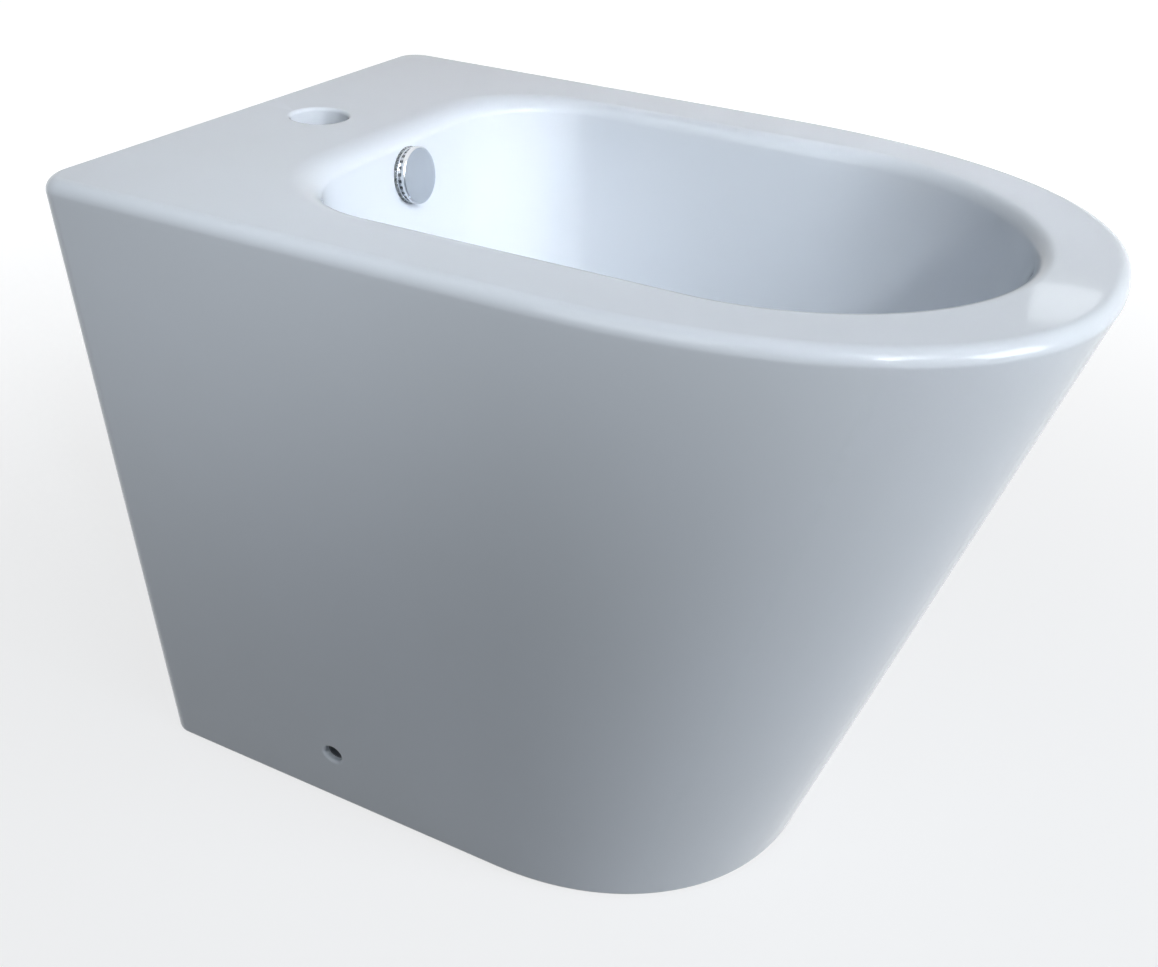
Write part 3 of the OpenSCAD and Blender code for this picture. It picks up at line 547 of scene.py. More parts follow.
def bar(name, r, low, high, place=Matrix(), steps=96):
    """A plain round bar between two heights, mostly used as a cutter."""
    return lathe(name, [(0, low), (r, low), (r, high), (0, high)], place, steps)


def at(x, y, z, turn=0, axis="X"):
    """A place in mm, with a turn in degrees about one axis."""
    return Matrix.Translation(Vector((x, y, z)) * MM) @ Matrix.Rotation(math.radians(turn), 4, axis)


print("a rounded corner has", ARC_STEPS + 1, "points")

# %% [markdown]
# ## Holes and the hidden duct
#
# The holes are punched while the clay is leather hard, and then wiped with a wet sponge, so their edges are
# eased. Each cutter therefore flares where it meets the face. A bevel modifier would need clean edges there,
# and these edges cross a dense skin, so the easing is built into the cutters.

# %% Cutter of the service opening
OPENING_W = 200
OPENING_H = 300
OPENING_R = 40
OPENING_EASE = 2.5
ARCH_STEPS = 12
CUT_DEPTH = 25
BELOW_FLOOR = -6


def arch(grow, y):
    """An upright arch, seen from behind, that starts below the floor."""
    half_w, top, r = OPENING_W / 2 + grow, OPENING_H + grow, OPENING_R + grow
    side = [Vector((half_w, y, BELOW_FLOOR))]
    for g in quarter(ARCH_STEPS):
        side.append(Vector((half_w - r + r * math.cos(g), y, top - r + r * math.sin(g))))
    return side + [Vector((-p.x, y, p.z)) for p in reversed(side)]


def opening_cutter():
    loops = [arch(OPENING_EASE, WALL_Y + 1), arch(OPENING_EASE, WALL_Y)]
    for g in quarter(EASE_LEVELS)[1:]:
        loops.append(arch(OPENING_EASE * (1 - math.sin(g)), WALL_Y - OPENING_EASE * (1 - math.cos(g))))
    loops.append(arch(0, WALL_Y - CUT_DEPTH))
    return stack("opening_cutter", loops)


print("service opening:", OPENING_W, "x", OPENING_H, "mm")

# %% [markdown]
# The tap hole, the overflow's hole and the two side holes are round. The first two meet a flat face, so a
# turned cutter does for them. The side holes run level through a sloping skirt, so each of their rings leans
# with it, and the easing stays even all round.

# %% Cutters of the round holes
TAP_R = 17.5
TAP_BACK = 49
TAP_EASE = 2.2
TAP_DEPTH = 20
OVERFLOW_HOLE_R = 11
OVERFLOW_EASE = 0.8
OVERFLOW_DEPTH = 17
SIDE_HOLE_BACK = 143
SIDE_HOLE_Z = 44
SIDE_HOLE_R = 6.4
SIDE_EASE = 2
SIDE_DEPTH = 40
SIDE_STEPS = 64
OVER_CUT = 2
SIDE_Y = WALL_Y - SIDE_HOLE_BACK
OVERFLOW_PLACE = at(0, WALL_Y - OVERFLOW_BACK, OVERFLOW_Z, 90 - math.degrees(OVERFLOW_TILT))


def eased_outline(r, ease, depth):
    """A hole that opens by a quarter round at height 0."""
    flare = [(r + ease * (1 - math.cos(g)), -ease * (1 - math.sin(g))) for g in quarter(EASE_LEVELS)]
    return [(0, -depth), (r, -depth)] + flare + [(r + ease, OVER_CUT), (0, OVER_CUT)]


def side_cutter(side):
    """A level hole whose easing follows the sloping skirt."""
    slope = (RIM[0] - FOOT[0]) / (RIM_LOW_Z - FOOT_EDGE_R)
    levels = [(SIDE_HOLE_R + SIDE_EASE, -OVER_CUT)]
    for g in quarter(EASE_LEVELS):
        levels.append((SIDE_HOLE_R + SIDE_EASE * (1 - math.sin(g)), SIDE_EASE * (1 - math.cos(g))))
    loops = []
    for r, sink in levels + [(SIDE_HOLE_R, SIDE_DEPTH)]:
        loop = []
        for j in range(SIDE_STEPS):
            g = math.tau * j / SIDE_STEPS
            z = SIDE_HOLE_Z + r * math.sin(g)
            skin_x = FOOT[0] + slope * (z - FOOT_EDGE_R)
            loop.append(Vector((side * (skin_x - sink), SIDE_Y + r * math.cos(g), z)))
        loops.append(loop)
    return stack("side_cutter", loops)


def round_cutters():
    tap_outline = eased_outline(TAP_R, TAP_EASE, TAP_DEPTH)
    overflow_outline = eased_outline(OVERFLOW_HOLE_R, OVERFLOW_EASE, OVERFLOW_DEPTH)
    tap = lathe("tap_cutter", tap_outline, at(0, WALL_Y - TAP_BACK, BODY_H))
    overflow = lathe("overflow_cutter", overflow_outline, OVERFLOW_PLACE)
    return [tap, overflow, side_cutter(-1), side_cutter(1)]


print("side holes at y =", SIDE_Y, "mm")

# %% [markdown]
# The overflow's water falls through a duct that is moulded behind the bowl and ends in the waste hole. It
# shows only from behind, through the service opening, as a smooth box on the back of the bowl.

# %% Duct behind the bowl
DUCT_W = 50
DUCT_T = 6
DUCT_BACK = 82
DUCT_H = 18
TAIL_R = 20.95
DUCT_STEPS = 20
DUCT_CORNER_R = 6
DUCT_FLOOR_Z = BOWL_FLOOR_Z - SHELL - DUCT_H


def behind_bowl(gap):
    """A line down behind the bowl, at a given gap, as (distance from the wall, height)."""
    line = []
    for g in quarter(DUCT_STEPS):
        back = mix(WALL_TOP, FLOOR, turn_in(g))[1] - gap
        z = WALL_TOP_Z * (1 - turn_down(g)) + BOWL_FLOOR_Z * turn_down(g)
        line.append((back, min(z, DECK_UNDER_Z)))
    line[-1] = (line[-1][0], BOWL_FLOOR_Z - gap)
    return line


def slab(name, outline, width):
    """A side view of (distance from the wall, height), as wide as given about the middle."""
    sides = (-width / 2, width / 2)
    return stack(name, [[Vector((x, WALL_Y - back, z)) for back, z in outline] for x in sides])


def duct_outside():
    inner = WASTE_BACK - BOSS_R + 3
    low = DUCT_FLOOR_Z - DUCT_T
    outline = [(DUCT_BACK, DECK_UNDER_Z + 2), (WALL_TOP[1] - SHELL / 2, DECK_UNDER_Z + 2)]
    outline += behind_bowl(SHELL / 2)
    outline += [(inner, BOWL_FLOOR_Z - SHELL / 2 - 2), (inner, low), (DUCT_BACK, low)]
    return slab("duct_outside", outline, DUCT_W + 2 * DUCT_T)


def duct_inside():
    outline = [(DUCT_BACK + DUCT_T, DECK_UNDER_Z)] + behind_bowl(SHELL)
    inner = WASTE_BACK - TAIL_R
    outline += [(inner, DUCT_FLOOR_Z + DUCT_H), (inner, DUCT_FLOOR_Z), (DUCT_BACK + DUCT_T, DUCT_FLOOR_Z)]
    return slab("duct_inside", outline, DUCT_W)


print("duct floor at z =", DUCT_FLOOR_Z)

# %% [markdown]
# ## Cutting
#
# The exact boolean solver keeps every untouched face as it was, so the skin stays smooth round each hole.
# All holes are cut in one go: several operands in a collection cost hardly more than one.

# %% Exact cuts
def applied(piece):
    """Bakes the modifiers of a piece into its mesh."""
    graph = bpy.context.evaluated_depsgraph_get()
    mesh = bpy.data.meshes.new_from_object(piece.evaluated_get(graph))
    piece.modifiers.clear()
    old, name = piece.data, piece.data.name
    piece.data = mesh
    bpy.data.meshes.remove(old)
    mesh.name = name
    return piece


def combine(piece, others, how="DIFFERENCE"):
    """Cuts other meshes from a piece, or joins them to it, and removes them."""
    group = bpy.data.collections.new("operands")
    bpy.context.scene.collection.children.link(group)
    for other in others:
        group.objects.link(other)
    step = piece.modifiers.new("combine", "BOOLEAN")
    step.operation = how
    step.solver = "EXACT"
    step.operand_type = "COLLECTION"
    step.collection = group
    applied(piece)
    for other in others:
        bpy.data.objects.remove(other)
    bpy.data.collections.remove(group)
    return piece


def eased(piece, width, segments=3, angle=30):
    """Rounds every edge that is sharper than an angle."""
    bevel = piece.modifiers.new("ease", "BEVEL")
    bevel.width = width * MM
    bevel.segments = segments
    bevel.limit_method = "ANGLE"
    bevel.angle_limit = math.radians(angle)
    bevel.use_clamp_overlap = True
    return applied(piece)


def smooth(piece, sharp=35):
    """Smooth shading that breaks at real edges and keeps large faces flat."""
    mesh = piece.data
    mesh.polygons.foreach_set("use_smooth", [True] * len(mesh.polygons))
    mesh.set_sharp_from_angle(angle=math.radians(sharp))
    weigh = piece.modifiers.new("flat_faces", "WEIGHTED_NORMAL")
    weigh.keep_sharp = True
    return applied(piece)


combine(china, [eased(duct_outside(), DUCT_CORNER_R, angle=60)], "UNION")
combine(china, [duct_inside(), opening_cutter(), *round_cutters()])
smooth(china)
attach(china, "root")
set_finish(china, "glaze")
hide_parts("ceramic_body")
china_size = tuple(round(side / MM, 2) for side in china.dimensions)
print("china body:", len(china.data.polygons), "faces,", china_size, "mm")

# %% [markdown]
# ## The overflow
#
# The overflow is three pieces in a pile: a clear gasket on the glaze, a plated ring whose toothed crown lets
# the water in, and a mirror cap that snaps in with three spring fingers. The cap's face is very slightly
# domed, as every pressed and polished disc is, so its reflection bends a little.

# %% Settling a piece
RUN_CLEAR = 0.05
SLIP_CLEAR = 0.15


def settle(piece, slot, *nodes, body="root", sharp=35):
    """Shades a finished piece and hands it to the frame, in the place of its CAD nodes."""
    smooth(piece, sharp)
    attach(piece, body)
    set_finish(piece, slot)
    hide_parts(*nodes)
    print(f"{piece.name}: {len(piece.data.polygons)} faces")
    return piece


print("pieces run", RUN_CLEAR, "mm clear and slip", SLIP_CLEAR, "mm clear")

# %% [markdown]
# The gasket is a flat ring of clear silicone. The ring on it could be modelled tooth by tooth, but a real one
# is turned first and then milled, so here too a plain crown is turned and its gaps are cut out.

# %% Gasket and toothed ring
SEAL_R = 17
SEAL_T = 1.5
FLANGE_R = 16.4
FLANGE_TOP = SEAL_T + 1.2
CROWN_R = 15.2
CROWN_T = 1.6
CROWN_H = 2.6
TEETH = 24
SLEEVE_R = OVERFLOW_HOLE_R - SLIP_CLEAR
SLEEVE_IN_R = SLEEVE_R - 1.4
SLEEVE_END = -14


def block(name, x, y, z, place):
    """A box between two values on each axis, to cut with or to join on."""
    corners = ((x[0], y[0]), (x[1], y[0]), (x[1], y[1]), (x[0], y[1]))
    return stack(name, [[Vector((a, b, h)) for a, b in corners] for h in z], place=place)


def turned(degrees):
    return Matrix.Rotation(math.radians(degrees), 4, "Z")


def overflow_ring():
    crown_in, crown_top = CROWN_R - CROWN_T, FLANGE_TOP + CROWN_H
    outline = rounded([
        (SLEEVE_IN_R, SLEEVE_END, 0.3), (SLEEVE_R, SLEEVE_END, 0.5), (SLEEVE_R, SEAL_T, 0.2),
        (FLANGE_R, SEAL_T, 0.4), (FLANGE_R, FLANGE_TOP, 0.4), (CROWN_R, FLANGE_TOP, 0.15),
        (CROWN_R, crown_top, 0.2), (crown_in, crown_top, 0.2), (crown_in, FLANGE_TOP, 0.15),
        (SLEEVE_IN_R, FLANGE_TOP, 0.5),
    ])
    piece = lathe("overflow_crown_ring", outline, OVERFLOW_PLACE, steps=144)
    half_gap = math.pi * CROWN_R / TEETH / 2
    cut = ((crown_in - 0.5, CROWN_R + 1), (-half_gap, half_gap), (FLANGE_TOP + 0.15, crown_top + 1))
    gaps = [block("gap", *cut, OVERFLOW_PLACE @ turned(360 / TEETH * i)) for i in range(TEETH)]
    return combine(piece, gaps)


gasket = rounded([
    (OVERFLOW_HOLE_R, 0, 0.3), (SEAL_R, 0, 0.3), (SEAL_R, SEAL_T, 0.6), (OVERFLOW_HOLE_R, SEAL_T, 0.3),
])
settle(lathe("overflow_gasket", gasket, OVERFLOW_PLACE), "clear_seal", "overflow_seal")
settle(overflow_ring(), "chrome", "overflow_ring", sharp=28)

# %% [markdown]
# The cap is a turned disc whose face is a very shallow dome. Three curved strips behind it are its spring
# fingers. They are joined to the disc by a union, so the cap is one closed mesh, as it is one pressing.

# %% Mirror cap
CAP_R = 17.1
CAP_T = 2.6
CAP_LOW = FLANGE_TOP + CROWN_H
CAP_DOME = 0.22
FINGER_L = 9
FINGER_REACH = 15
FINGER_STEPS = 8


def domed(r_edge, z_centre, dome, steps=14):
    """A shallow dome from its edge in to the axis."""
    return [(r_edge * (1 - i / steps), z_centre - dome * (1 - i / steps) ** 2) for i in range(steps + 1)]


def spring_finger(degrees):
    """A curved strip that grips the sleeve from inside."""
    out_r, in_r = SLEEVE_IN_R - RUN_CLEAR, SLEEVE_IN_R - 1.5
    top, tip = CAP_LOW + 0.1, CAP_LOW - FINGER_L
    corners = ((in_r, top), (out_r, top), (out_r, tip), (in_r, tip))
    loops = []
    for i in range(FINGER_STEPS + 1):
        g = math.radians(degrees - FINGER_REACH + 2 * FINGER_REACH * i / FINGER_STEPS)
        loops.append([Vector((r * math.cos(g), r * math.sin(g), z)) for r, z in corners])
    return stack("finger", loops, place=OVERFLOW_PLACE)


def mirror_cap():
    face = domed(CAP_R - 1.1, CAP_LOW + CAP_T, CAP_DOME)
    edge = rounded([(0, CAP_LOW), (CAP_R, CAP_LOW, 0.25), (CAP_R, face[0][1], 1), face[0]], closed=False)
    piece = lathe("overflow_mirror_cap", edge[:-1] + face, OVERFLOW_PLACE, steps=128)
    return combine(piece, [spring_finger(90 + 120 * i) for i in range(3)], "UNION")


settle(mirror_cap(), "chrome", "overflow_cap")

# %% [markdown]
# ## Threads, ribs and flats
#
# A turned outline can also carry a rule for its radius round the axis. A thread lowers the radius by a notch
# that climbs one pitch a turn, a grip rib raises it, and a hexagon clips it. That is how a real thread or nut
# is made too: the lathe first, then the tool that follows a rule.

# %% Rules for a radius
NOTCH_STEP = 0.3
GROOVE_FLAT, GROOVE_EDGE = 0.12, 0.45
RIB_EASE_IN, RIB_EASE_OUT = 0.7, 0.5
CHAMFER_STEPS = 4
BORE_EASE = 0.6


def thread(crest_r, depth, pitch, low, high):
    """A helical V groove between two heights, fading out over one pitch at each end."""

    def shape(g, r, z):
        if abs(r - crest_r) > AXIS_R or not low <= z <= high:
            return r
        phase = (z / pitch - g / math.tau) % 1
        fade = smoothstep(low, low + pitch, z) * (1 - smoothstep(high - pitch, high, z))
        return r - depth * fade * (1 - smoothstep(GROOVE_FLAT, GROOVE_EDGE, abs(phase - 0.5)))

    return shape


def threaded(r, low, high, step=NOTCH_STEP):
    """Evenly spaced outline points that a thread can bend."""
    count = math.ceil((high - low) / step)
    return [(r, low + (high - low) * i / count) for i in range(count + 1)]


def ribs(base_r, height, width, count, low, high):
    """Upright grip ribs round a nut."""

    def shape(g, r, z):
        if r < base_r - AXIS_R:
            return r
        off = abs((g * count / math.tau + 0.5) % 1 - 0.5) * math.tau / count * base_r
        rise = 1 - smoothstep(width / 2 - RIB_EASE_IN, width / 2 + RIB_EASE_OUT, off)
        return r + height * rise * smoothstep(low, low + 1, z) * (1 - smoothstep(high - 1, high, z))

    return shape


def flats(across):
    """Clips a radius to a hexagon, given across its flats."""

    def shape(g, r, z):
        turn = g % (math.pi / 3) - math.pi / 6
        return min(r, across / 2 / math.cos(turn))

    return shape


def hex_nut(name, across, h, bore, low, place, chamfer):
    """A six-sided nut with both ends turned down to a chamfer."""
    corner = across / 2 / math.cos(math.pi / 6)
    rise = corner - across / 2
    shares = [i / CHAMFER_STEPS for i in range(CHAMFER_STEPS + 1)]
    side = [(corner, low + chamfer + (h - 2 * chamfer) * t) for t in shares]
    top = [(corner - rise * t, low + h - chamfer + chamfer * t) for t in shares[1:]]
    bottom = [(r, 2 * low + h - z) for r, z in reversed(top)]
    inner = [(bore + BORE_EASE, low + h), (bore, low + h - BORE_EASE), (bore, low + BORE_EASE),
             (bore + BORE_EASE, low)]
    return lathe(name, inner + bottom + side + top, place, steps=240, shape=flats(across))


print("thread points lie", NOTCH_STEP, "mm apart")

# %% [markdown]
# ## The side fixings
#
# A ceramic foot can't be screwed straight to a floor. Two bent steel brackets are screwed down first, the
# body is lowered over them, and a long screw on each side pulls it tight through a plastic sleeve.

# %% Sizes of the side fixings
BRACKET_T = 3
BRACKET_X = FOOT[0] - FOOT_LAND - 2
UPRIGHT_X = BRACKET_X - BRACKET_T
BRACKET_W = 40
BRACKET_FOOT = 44
BRACKET_HIGH = SIDE_HOLE_Z + 14
BRACKET_CORNER = 6
BRACKET_EASE = 0.3
BEND_STEPS = 8
SLEEVE_X = skirt_outline(SIDE_HOLE_Z)[0] - 5
SLEEVE_FLOOR_X = SLEEVE_X - 12.5
FIX_SLEEVE_R = SIDE_HOLE_R - SLIP_CLEAR
SCREW_R = 3
SCREW_BORE_R = SCREW_R + SLIP_CLEAR
FLOOR_HOLE_X = UPRIGHT_X - 24
FLOOR_HOLE_R = 3.5
SIDES = ((-1, "left"), (1, "right"))


def side_place(side):
    """+Z points outwards through the side hole, from the middle plane."""
    return at(0, SIDE_Y, SIDE_HOLE_Z, 90 * side, "Y")


def strip_middle():
    """The bracket's middle line as (x, z, normal angle), from the foot's end to the top of the upright."""
    bend = 1.5 * BRACKET_T
    line = []
    start, stop = BRACKET_X - BRACKET_FOOT, BRACKET_X - 2 * BRACKET_T
    reach = [i / BEND_STEPS * BRACKET_CORNER for i in range(BEND_STEPS + 1)]
    for x in [start + s for s in reach] + [start + (stop - start) * t for t in (0.4, 0.7)]:
        line.append((x, BRACKET_T / 2, math.pi / 2))
    for g in quarter(BEND_STEPS):
        line.append((stop + bend * math.sin(g), 2 * BRACKET_T - bend * math.cos(g), math.pi / 2 + g))
    for z in [20, 35] + [BRACKET_HIGH - s for s in reversed(reach)]:
        line.append((stop + bend, z, math.pi))
    return line


def floor_bracket(side, name):
    line = strip_middle()
    start, high = BRACKET_X - BRACKET_FOOT, BRACKET_HIGH
    loops = []
    for x, z, normal in line:
        gone = min(x - start if z < BRACKET_T else BRACKET_CORNER, high - z, BRACKET_CORNER)
        half_w = BRACKET_W / 2 - BRACKET_CORNER + math.sqrt(BRACKET_CORNER**2 - (BRACKET_CORNER - gone) ** 2)
        half_w = max(half_w, BRACKET_W / 2 - BRACKET_CORNER)
        dx, dz = BRACKET_T / 2 * math.cos(normal), BRACKET_T / 2 * math.sin(normal)
        loops.append([
            Vector((side * (x + s * dx), SIDE_Y + e * half_w, z + s * dz))
            for s, e in ((1, -1), (1, 1), (-1, 1), (-1, -1))
        ])
    piece = stack(name, loops)
    screw_hole = bar("hole", SCREW_BORE_R, UPRIGHT_X - 3, BRACKET_X + 3, side_place(side), 48)
    floor_hole = bar("hole", FLOOR_HOLE_R, -3, 6, at(side * FLOOR_HOLE_X, SIDE_Y, 0), 48)
    return eased(combine(piece, [screw_hole, floor_hole]), BRACKET_EASE, segments=2, angle=50)


for side, word in SIDES:
    settle(floor_bracket(side, f"bracket_{word}"), "steel", f"floor_bracket_{word}")

# %% [markdown]
# The sleeve keeps steel off the china, with a recess that hides the screw's head. Sleeve, screw and nut share
# one axis, so all three are drawn as outlines along it and put in place by the same matrix. Only the thread,
# the hexagon socket and the nut's flats aren't round.

# %% Sleeves, screws and nuts
SCREW_HEAD_R = 5
SCREW_HEAD_H = 4
SCREW_NOTCH = 0.5
SCREW_PITCH = 1
SCREW_STEP = 0.2
KEY_R = 2.5
KEY_DEPTH = 2.4
SIDE_NUT_ACROSS = 10
SIDE_NUT_H = 5
SIDE_NUT_X = UPRIGHT_X - SIDE_NUT_H
SCREW_TIP_X = SIDE_NUT_X - 4
TIP_EASE = 0.8


def fixing_sleeve(name, place):
    mouth = FIX_SLEEVE_R - 0.9
    outline = rounded([
        (SCREW_BORE_R, BRACKET_X, 0.3), (FIX_SLEEVE_R, BRACKET_X, 0.3), (FIX_SLEEVE_R, SLEEVE_X, 0.4),
        (mouth, SLEEVE_X, 0.4), (mouth, SLEEVE_FLOOR_X, 0.5), (SCREW_BORE_R, SLEEVE_FLOOR_X, 0.3),
    ])
    return lathe(name, outline, place)


def fixing_screw(name, place):
    start, end = SCREW_TIP_X + TIP_EASE, BRACKET_X - 1
    head_top = SLEEVE_FLOOR_X + SCREW_HEAD_H
    head = rounded([
        (SCREW_R, SLEEVE_FLOOR_X), (SCREW_HEAD_R, SLEEVE_FLOOR_X, 0.3), (SCREW_HEAD_R, head_top, 0.9),
        (0, head_top),
    ], closed=False)
    tip = [(0, SCREW_TIP_X), (SCREW_R - TIP_EASE, SCREW_TIP_X)]
    outline = tip + threaded(SCREW_R, start, end, SCREW_STEP) + head
    piece = lathe(name, outline, place, 72, thread(SCREW_R, SCREW_NOTCH, SCREW_PITCH, start, end))
    return combine(piece, [bar("socket", KEY_R, head_top - KEY_DEPTH, head_top + 2, place, 6)])


for side, word in SIDES:
    there = side_place(side)
    # The sleeve's dark grey is partly painted shade inside the side hole.
    settle(fixing_sleeve(f"sleeve_{word}", there), "dark_plastic", f"side_sleeve_{word}")
    settle(fixing_screw(f"screw_{word}", there), "dark_steel", f"side_screw_{word}")
    nut = hex_nut(f"screw_nut_{word}", SIDE_NUT_ACROSS, SIDE_NUT_H, SCREW_BORE_R, SIDE_NUT_X, there, 0.5)
    settle(nut, "steel", f"side_nut_{word}", sharp=28)

# %% [markdown]
# ## The push-button waste
#
# The flange and its threaded tail are one brass turning, chromed. Overflow water enters the tail by four
# slots. The plug is a polished mushroom on a stem that clicks down to shut, and it carries a rubber ring.

# %% Waste flange and tail
WASTE_PLACE = at(0, WASTE_Y, SEAT_Z)
WASTE_FLANGE_R = 32.5
WASTE_TOP = 4.5
TAIL_LOW = -76
TAIL_BORE = TAIL_R - 2.6
TAIL_NOTCH = 0.9
TAIL_PITCH = 2.3
SMOOTH_TAIL_R = TAIL_R - TAIL_NOTCH
SMOOTH_LOW = -36
SLOT_LOW = DUCT_FLOOR_Z - SEAT_Z
SLOT_TOP = SLOT_LOW + DUCT_H - DUCT_T
SLOT_W = 12
SLOTS = 4
SPIDER_LOW = -37.6
SPIDER_T = 4
HUB_R = 7.55
STUD_R = 3.15
ARM_W = 3
ARMS = 3


def waste_outline():
    low, high = TAIL_LOW + TAIL_NOTCH, SMOOTH_LOW - TAIL_NOTCH
    plain = rounded([
        (TAIL_R, high), (SMOOTH_TAIL_R, SMOOTH_LOW), (SMOOTH_TAIL_R, 1.5, 0.3),
        (WASTE_FLANGE_R - 1, 1.5, 0.2), (WASTE_FLANGE_R, 3, 0.5), (WASTE_FLANGE_R, WASTE_TOP, 1.1),
        (TAIL_BORE, WASTE_TOP, 2.2), (TAIL_BORE, TAIL_LOW + 0.5), (TAIL_BORE + 0.5, TAIL_LOW),
    ], closed=False)
    outline = [(SMOOTH_TAIL_R, TAIL_LOW)] + threaded(TAIL_R, low, high)[:-1] + plain
    return outline, thread(TAIL_R, TAIL_NOTCH, TAIL_PITCH, low, high)


def radial_blocks(name, count, first, x, width, z):
    """Equal bars that point outwards round the waste, the first one at a given angle."""
    half = width / 2
    return [
        block(name, x, (-half, half), z, WASTE_PLACE @ turned(first + 360 / count * i)) for i in range(count)
    ]


def waste_body():
    outline, notches = waste_outline()
    piece = lathe("waste_body", outline, WASTE_PLACE, 120, notches)
    combine(piece, radial_blocks("slot", SLOTS, 0, (TAIL_BORE - 2, TAIL_R + 2), SLOT_W, (SLOT_LOW, SLOT_TOP)))
    low, top = SPIDER_LOW, SPIDER_LOW + SPIDER_T
    hub = bar("hub", HUB_R, low, top, WASTE_PLACE, 64)
    arms = radial_blocks("arm", ARMS, 30, (0, TAIL_BORE + 0.8), ARM_W, (low, top))
    combine(piece, [hub] + arms, "UNION")
    return combine(piece, [bar("stud_hole", STUD_R, low - 1, top + 1, WASTE_PLACE, 48)])


settle(waste_body(), "chrome", "waste_flange", sharp=40)

# %% [markdown]
# The plug, its ring and its stem move together, so all three ride on the body that the CAD model calls plug.
# They are separate pieces because they are separate materials: plated brass, rubber and plain brass.

# %% Plug, its seal and its stem
PLUG_Z = 15.7
PLUG_R = 31.5
PLUG_T = 3.4
PLUG_DOME = 1.6
PLUG_BOSS_R = 7
PLUG_BOSS_H = 6
PLUG_RING_IN_R = 22.5
PLUG_RING_R = 27.5
PLUG_RING_Z = 12.7
STEM_R = 4
STEM_LOW = -17.05
STEM_FOOT_R = 6.9
STEM_FOOT_TOP = STEM_LOW + 3


def plug_disc():
    face = domed(PLUG_R - 1.2, PLUG_Z + PLUG_T + PLUG_DOME, PLUG_DOME, 20)
    bore, boss_low = STEM_R + RUN_CLEAR, PLUG_Z - PLUG_BOSS_H
    edge = rounded([
        (0, PLUG_Z), (bore, PLUG_Z), (bore, boss_low, 0.2), (PLUG_BOSS_R, boss_low, 0.6),
        (PLUG_BOSS_R, PLUG_Z, 0.8), (PLUG_R, PLUG_Z, 0.9), (PLUG_R, PLUG_Z + PLUG_T, 1.2), face[0],
    ], closed=False)
    return lathe("plug_disc", edge[:-1] + face, WASTE_PLACE, steps=160)


settle(plug_disc(), "chrome", "waste_plug", body="plug")
plug_ring = rounded([
    (PLUG_RING_IN_R, PLUG_RING_Z, 1.2), (PLUG_RING_R, PLUG_RING_Z, 1.2), (PLUG_RING_R, PLUG_Z, 0.3),
    (PLUG_RING_IN_R, PLUG_Z, 0.3),
])
settle(lathe("plug_ring", plug_ring, WASTE_PLACE), "rubber", "plug_seal", body="plug")
stem = rounded([
    (0, STEM_LOW), (STEM_FOOT_R, STEM_LOW, 0.4), (STEM_FOOT_R, STEM_FOOT_TOP, 0.4),
    (STEM_R, STEM_FOOT_TOP, 0.2), (STEM_R, PLUG_Z, 0.3), (0, PLUG_Z),
], closed=False)
settle(lathe("stem", stem, WASTE_PLACE, 64), "brass", "plug_stem", body="plug")

# %% [markdown]
# A coil spring under the stem pushes the plug open again. It is one wire along a helix, made at its open
# length. A screw modifier could wind it too, but a stack of small rings gives a closed wire at once.

# %% Spring of the plug
WIRE_R = 0.5
WIRE_SIDES = 12
COIL_TURNS = 5
COIL_STEPS = 36
coil_low, coil_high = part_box("click_spring")
COIL_LOW, COIL_HIGH = coil_low.z / MM + WIRE_R, coil_high.z / MM - WIRE_R
COIL_R = (coil_high.x - coil_low.x) / MM / 2 - WIRE_R


def coil_spring():
    count = COIL_TURNS * COIL_STEPS
    around = [math.tau * j / WIRE_SIDES for j in range(WIRE_SIDES)]
    up = Vector((0, 0, 1))
    loops = []
    for i in range(count + 1):
        g = math.tau * i / COIL_STEPS
        out = Vector((math.cos(g), math.sin(g), 0))
        middle = out * COIL_R + up * (COIL_LOW + (COIL_HIGH - COIL_LOW) * i / count)
        loops.append([middle + out * WIRE_R * math.cos(b) + up * WIRE_R * math.sin(b) for b in around])
    return stack("plug_spring", loops, place=at(0, WASTE_Y, 0))


spring = settle(coil_spring(), "steel", "click_spring")
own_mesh(spring)

# %% [markdown]
# Three pieces clamp the waste from below. The tapered rubber presses against the boss under the bowl, the
# steel washer spreads the load, and the brass nut draws all of it tight. They lie in a pile, so each height
# follows from the one above it.

# %% Back nut, washer and tapered seal
NUT_BORE = TAIL_R + SLIP_CLEAR
TAPER_TOP = BOSS_Z - SEAT_Z
TAPER_LOW = TAPER_TOP - 8
TAPER_TOP_R, TAPER_LOW_R = 31, 34
WASHER_LOW = TAPER_LOW - 2
WASHER_R = 33
BACK_NUT_ACROSS = 52
BACK_NUT_H = 10

taper = rounded([
    (NUT_BORE, TAPER_LOW, 0.4), (TAPER_LOW_R, TAPER_LOW, 1.5), (TAPER_TOP_R, TAPER_TOP, 1.2),
    (NUT_BORE, TAPER_TOP, 0.4),
])
settle(lathe("taper_seal", taper, WASTE_PLACE), "rubber", "waste_bottom_seal")
washer = rounded([
    (NUT_BORE, WASHER_LOW, 0.3), (WASHER_R, WASHER_LOW, 0.5), (WASHER_R, TAPER_LOW, 0.5),
    (NUT_BORE, TAPER_LOW, 0.3),
])
settle(lathe("back_washer", washer, WASTE_PLACE), "steel", "waste_washer")
nut_low = WASHER_LOW - BACK_NUT_H
nut = hex_nut("back_nut", BACK_NUT_ACROSS, BACK_NUT_H, NUT_BORE, nut_low, WASTE_PLACE, 1.6)
settle(nut, "brass", "waste_nut", sharp=28)

# %% [markdown]
# ## The bottle trap
#
# Under the waste hangs a white plastic bottle trap. Water falls through the dip tube, rises round it and
# leaves by the branch, so the cup always holds a plug of water that stops smells. Every joint is a ribbed
# nut that is done up by hand.

